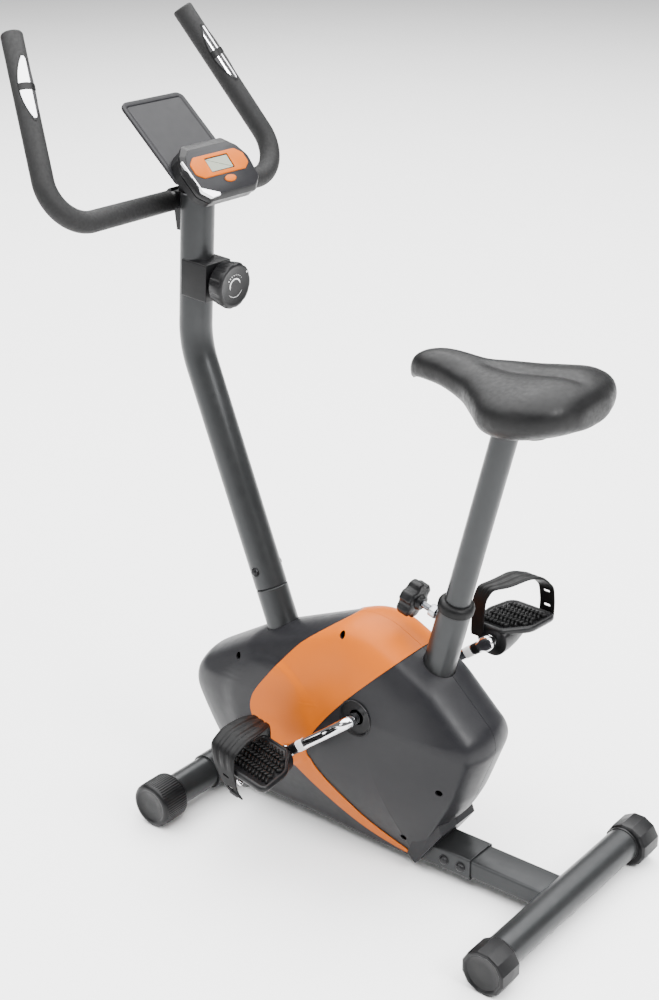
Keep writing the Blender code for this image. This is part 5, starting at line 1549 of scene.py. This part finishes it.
def make_strap(word, spot, strap, slots):
    """Moulded strap with three raised ribs along it and slots for its buckle."""
    route = strap_route(strap)
    columns = 40
    rings = []
    last = len(route) - 1
    for index, station in enumerate(route):
        before = route[max(index - 1, 0)]
        after = route[min(index + 1, last)]
        lift = Vector((before.z - after.z, after.y - before.y)).normalized()
        width = station.w / 2.0 * (0.90 if index in (0, last) else 1.0)
        share = index / last
        ribbed = smooth_step(share, 0.16, 0.26) * (1.0 - smooth_step(share, 0.68, 0.76))
        ring = []
        for column in range(columns + 1):
            u = 2.0 * column / columns - 1.0
            rib = sum(1.0 - smooth_step(abs(u - middle), 0.14, 0.24)
                      for middle in (-0.64, 0.0, 0.64))
            high = 0.0011 * round_edge(u) + 0.0016 * rib * ribbed
            ring.append((u * width, high))
        for column in range(columns, -1, -1):
            u = 2.0 * column / columns - 1.0
            ring.append((u * width, -0.0011 * round_edge(u) - 0.0001))
        rings.append([spot(station.x + forward, station.y + lift.x * high,
                           station.z + lift.y * high) for forward, high in ring])
    item = add_rings(f"{word}_strap", rings, "black_rubber", f"{word}_pedal",
                     (f"{word}_pedal_strap",), sharp=50.0)
    tools = []
    for share in slots:
        index = round(share * last)
        station = route[index]
        along = (route[index + 1] - route[index - 1]).normalized()
        lift = Vector((along.z, -along.y)).normalized()
        outline = rounded_box(0.0056, 0.0021, 0.0020, 4)
        solid = []
        for depth in (-0.006, 0.006):
            solid.append([spot(station.x + point.x + along.x * point.y,
                               station.y + along.y * point.y + lift.x * depth,
                               station.z + along.z * point.y + lift.y * depth)
                          for point in outline])
        tools.append(cutter("strap_slot", solid))
    cut(item, tools)
    finish_edges(item, 50.0)
    make_buckle(word, spot, route)


def make_buckle(word, spot, route):
    """Rounded hook on the pedal that the strap's tail is buttoned onto."""
    station = route[-4]
    along = (route[-1] - route[-7]).normalized()
    out = Vector((-along.z, along.y))
    rings = []
    for depth, size in ((0.0008, 0.92), (0.0016, 1.0), (0.0050, 1.0), (0.0064, 0.86),
                        (0.0068, 0.6)):
        rings.append([spot(station.x + point.x * size,
                           station.y + along.y * point.y * size + out.x * depth,
                           station.z + along.z * point.y * size + out.y * depth)
                      for point in rounded_box(0.0085, 0.0055, 0.0030, 5)])
    add_rings(f"{word}_strap_buckle", rings, "black_plastic", f"{word}_pedal", sharp=45.0)


def make_hole_ring(word, side):
    """Black ring pressed into the crank hole of a shell."""
    profile = [(0.0120, 0.0700), (0.0255, 0.0706), (0.0262, 0.0722), (0.0268, 0.0738),
               (0.0285, 0.0746), (0.0288, 0.0741), (0.0272, 0.0700), (0.0258, 0.0690),
               (0.0120, 0.0688)]
    flipped = [(radius, side * y) for radius, y in profile]
    add_turned(f"{word}_crank_seal", flipped, CRANK, SIDE, "black_plastic", "frame", looped=True)


for word, side, tilt, strap, slots in (("left", 1, 12.0, LEFT_STRAP, (0.80, 0.87)),
                                       ("right", -1, 2.0, RIGHT_STRAP, (0.80, 0.90))):
    pedal_eye = make_crank_arm(word, side)
    make_pedal(word, side, pedal_eye, tilt, strap, slots)
    make_hole_ring(word, side)

# ---------------------------------------------------------------- brackets and small parts

def add_plate(name, outline, low, high, *details, **options):
    """A side-view outline of (x, z) points, made solid between two y positions."""
    rings = [[Vector((x, y, z)) for x, z in outline] for y in (low, high)]
    return add_rings(name, rings, *details, **options)


def arc(centre, radius, first, last, steps=32):
    return [(centre.x + radius * math.cos(math.radians(first + (last - first) * step / steps)),
             centre.z + radius * math.sin(math.radians(first + (last - first) * step / steps)))
            for step in range(steps + 1)]


def make_brackets():
    bar = Vector((FRONT_BAR_X, 0.0, BAR_HEIGHT))
    sleeve = arc(bar, 0.0280, -60.0, 250.0, 64) + arc(bar, BAR_RADIUS + GAP, 250.0, -60.0, 64)
    add_plate("bar_sleeve", sleeve, -0.0660, 0.0660, "powder_coat", "frame", ("front_saddle",),
              bevel=0.0004)
    hold = HANDLEBAR_RADIUS + GAP
    back = arc(BAR_CORNER, hold, 95.0, 265.0) + [(0.2800, 0.8920), (0.2560, 0.8920),
                                               (0.2560, 0.9480)]
    clamp = add_plate("bar_bracket", back, -0.0110, 0.0110, "black_steel", "frame",
                      ("clamp_bracket",))
    ends = [at_height(POST_UPPER_POINT, POST_UPPER_AXIS, height) for height in (0.86, 0.98)]
    cut(clamp, [cutter("post_room", path_rings(ends, POST_RADIUS + GAP))])
    finish_edges(clamp, 35.0)
    add_edges(clamp, 0.0005, 35.0)
    cap = arc(BAR_CORNER, hold, -80.0, 80.0) + arc(BAR_CORNER, hold + 0.0044, 80.0, -80.0)
    add_plate("bar_cap", cap, -0.0110, 0.0110, "black_steel", "frame", ("clamp_cap",),
              bevel=0.0005)


def make_saddle_underside():
    """Plastic pan with a pressed rim, and the clamp on the seat post."""
    outline = rounded([(Vector((-0.245, -0.018)), 0.010), (Vector((-0.245, 0.018)), 0.010),
                       (Vector((-0.300, 0.048)), 0.025), (Vector((-0.360, 0.044)), 0.020),
                       (Vector((-0.360, -0.044)), 0.020), (Vector((-0.300, -0.048)), 0.025)], 10)
    rings = []
    for step, height in ((0.0090, 0.7220), (0.0022, 0.7220), (0.0006, 0.7226), (0.0, 0.7238),
                         (0.0, 0.7276), (0.0006, 0.7280)):
        rings.append([Vector((point.x, point.y, height)) for point in inset(outline, step)])
    add_rings("seat_pan", rings, "black_plastic", "seat", ("saddle_base",), sharp=40.0)
    top = at_height(SEAT_POINT, SEAT_AXIS, 0.7080)
    under = (Vector((0.0, 0.0, 0.7217)), LEVEL)
    add_pipe("seat_clamp", [top + SEAT_AXIS * 0.0003, top + SEAT_AXIS * 0.0200], 0.0215, 0.0110,
             "black_steel", "seat", ("saddle_clamp",), cuts=(None, under))


make_brackets()
make_saddle_underside()

# ---------------------------------------------------------------- CAD nodes that stay

def finish_cad_nodes():
    """Give every carried-over CAD solid the material of its slot in the record."""
    for part in frame["record"]["subparts"]:
        node = frame["nodes"][part["node"]]
        node.data.materials.clear()
        node.data.materials.append(MATERIALS[part["material_slot"]])


finish_cad_nodes()

# ---------------------------------------------------------------- stage, lights and camera

CAMERA_PLACE = Vector((-1.41436, 1.74925, 1.49560))
CAMERA_YAW = -50.79
CAMERA_PITCH = 23.055
CAMERA_ROLL = -0.763
LENS = 61.69
FLOOR_HALF_SIZE = 14.0


def make_floor():
    mesh = bpy.data.meshes.new("floor")
    shape = bmesh.new()
    bmesh.ops.create_grid(shape, x_segments=8, y_segments=8, size=FLOOR_HALF_SIZE)
    shape.to_mesh(mesh)
    shape.free()
    floor = bpy.data.objects.new("floor", mesh)
    bpy.context.scene.collection.objects.link(floor)
    material, tree, shader, place = new_material("floor_white")
    tint = add_tint(tree, add_noise(tree, place, 0.5), (0.90, 0.90, 0.90), (0.93, 0.93, 0.93))
    tree.links.new(tint, shader.inputs["Base Color"])
    shader.inputs["Roughness"].default_value = 0.75
    mesh.materials.append(material)


def add_area(name, place, target, size, power, height=None):
    light = bpy.data.lights.new(name, "AREA")
    light.shape = "RECTANGLE"
    light.size = size
    light.size_y = height or size
    light.energy = power
    item = bpy.data.objects.new(name, light)
    item.location = place
    item.rotation_euler = (target - place).to_track_quat("-Z", "Y").to_euler()
    bpy.context.scene.collection.objects.link(item)


def make_lights():
    world = bpy.data.worlds.new("studio")
    world.use_nodes = True
    backdrop = world.node_tree.nodes["Background"]
    backdrop.inputs["Color"].default_value = (1.0, 1.0, 1.0, 1.0)
    backdrop.inputs["Strength"].default_value = 0.25
    bpy.context.scene.world = world
    middle = Vector((0.0, 0.0, 0.55))
    add_area("key", Vector((-2.6, 0.2, 2.2)), middle, 1.0, 110.0)
    add_area("fill", Vector((0.8, 2.8, 1.5)), middle, 1.2, 20.0)
    add_area("top", Vector((1.0, -1.0, 5.0)), Vector((1.0, -1.0, 0.0)), 10.0, 2600.0)


def make_camera():
    camera = bpy.data.cameras.new("camera")
    camera.sensor_width = 36.0
    camera.sensor_fit = "AUTO"
    camera.lens = LENS
    camera.clip_end = 60.0
    item = bpy.data.objects.new("camera", camera)
    yaw = math.radians(CAMERA_YAW)
    pitch = math.radians(CAMERA_PITCH)
    forward = Vector((math.cos(pitch) * math.cos(yaw), math.cos(pitch) * math.sin(yaw),
                      -math.sin(pitch)))
    facing = forward.to_track_quat("-Z", "Y").to_matrix()
    turn = facing @ Matrix.Rotation(math.radians(CAMERA_ROLL), 3, "Z")
    item.matrix_world = Matrix.Translation(CAMERA_PLACE) @ turn.to_4x4()
    bpy.context.scene.collection.objects.link(item)
    bpy.context.scene.camera = item


make_floor()
make_lights()
make_camera()
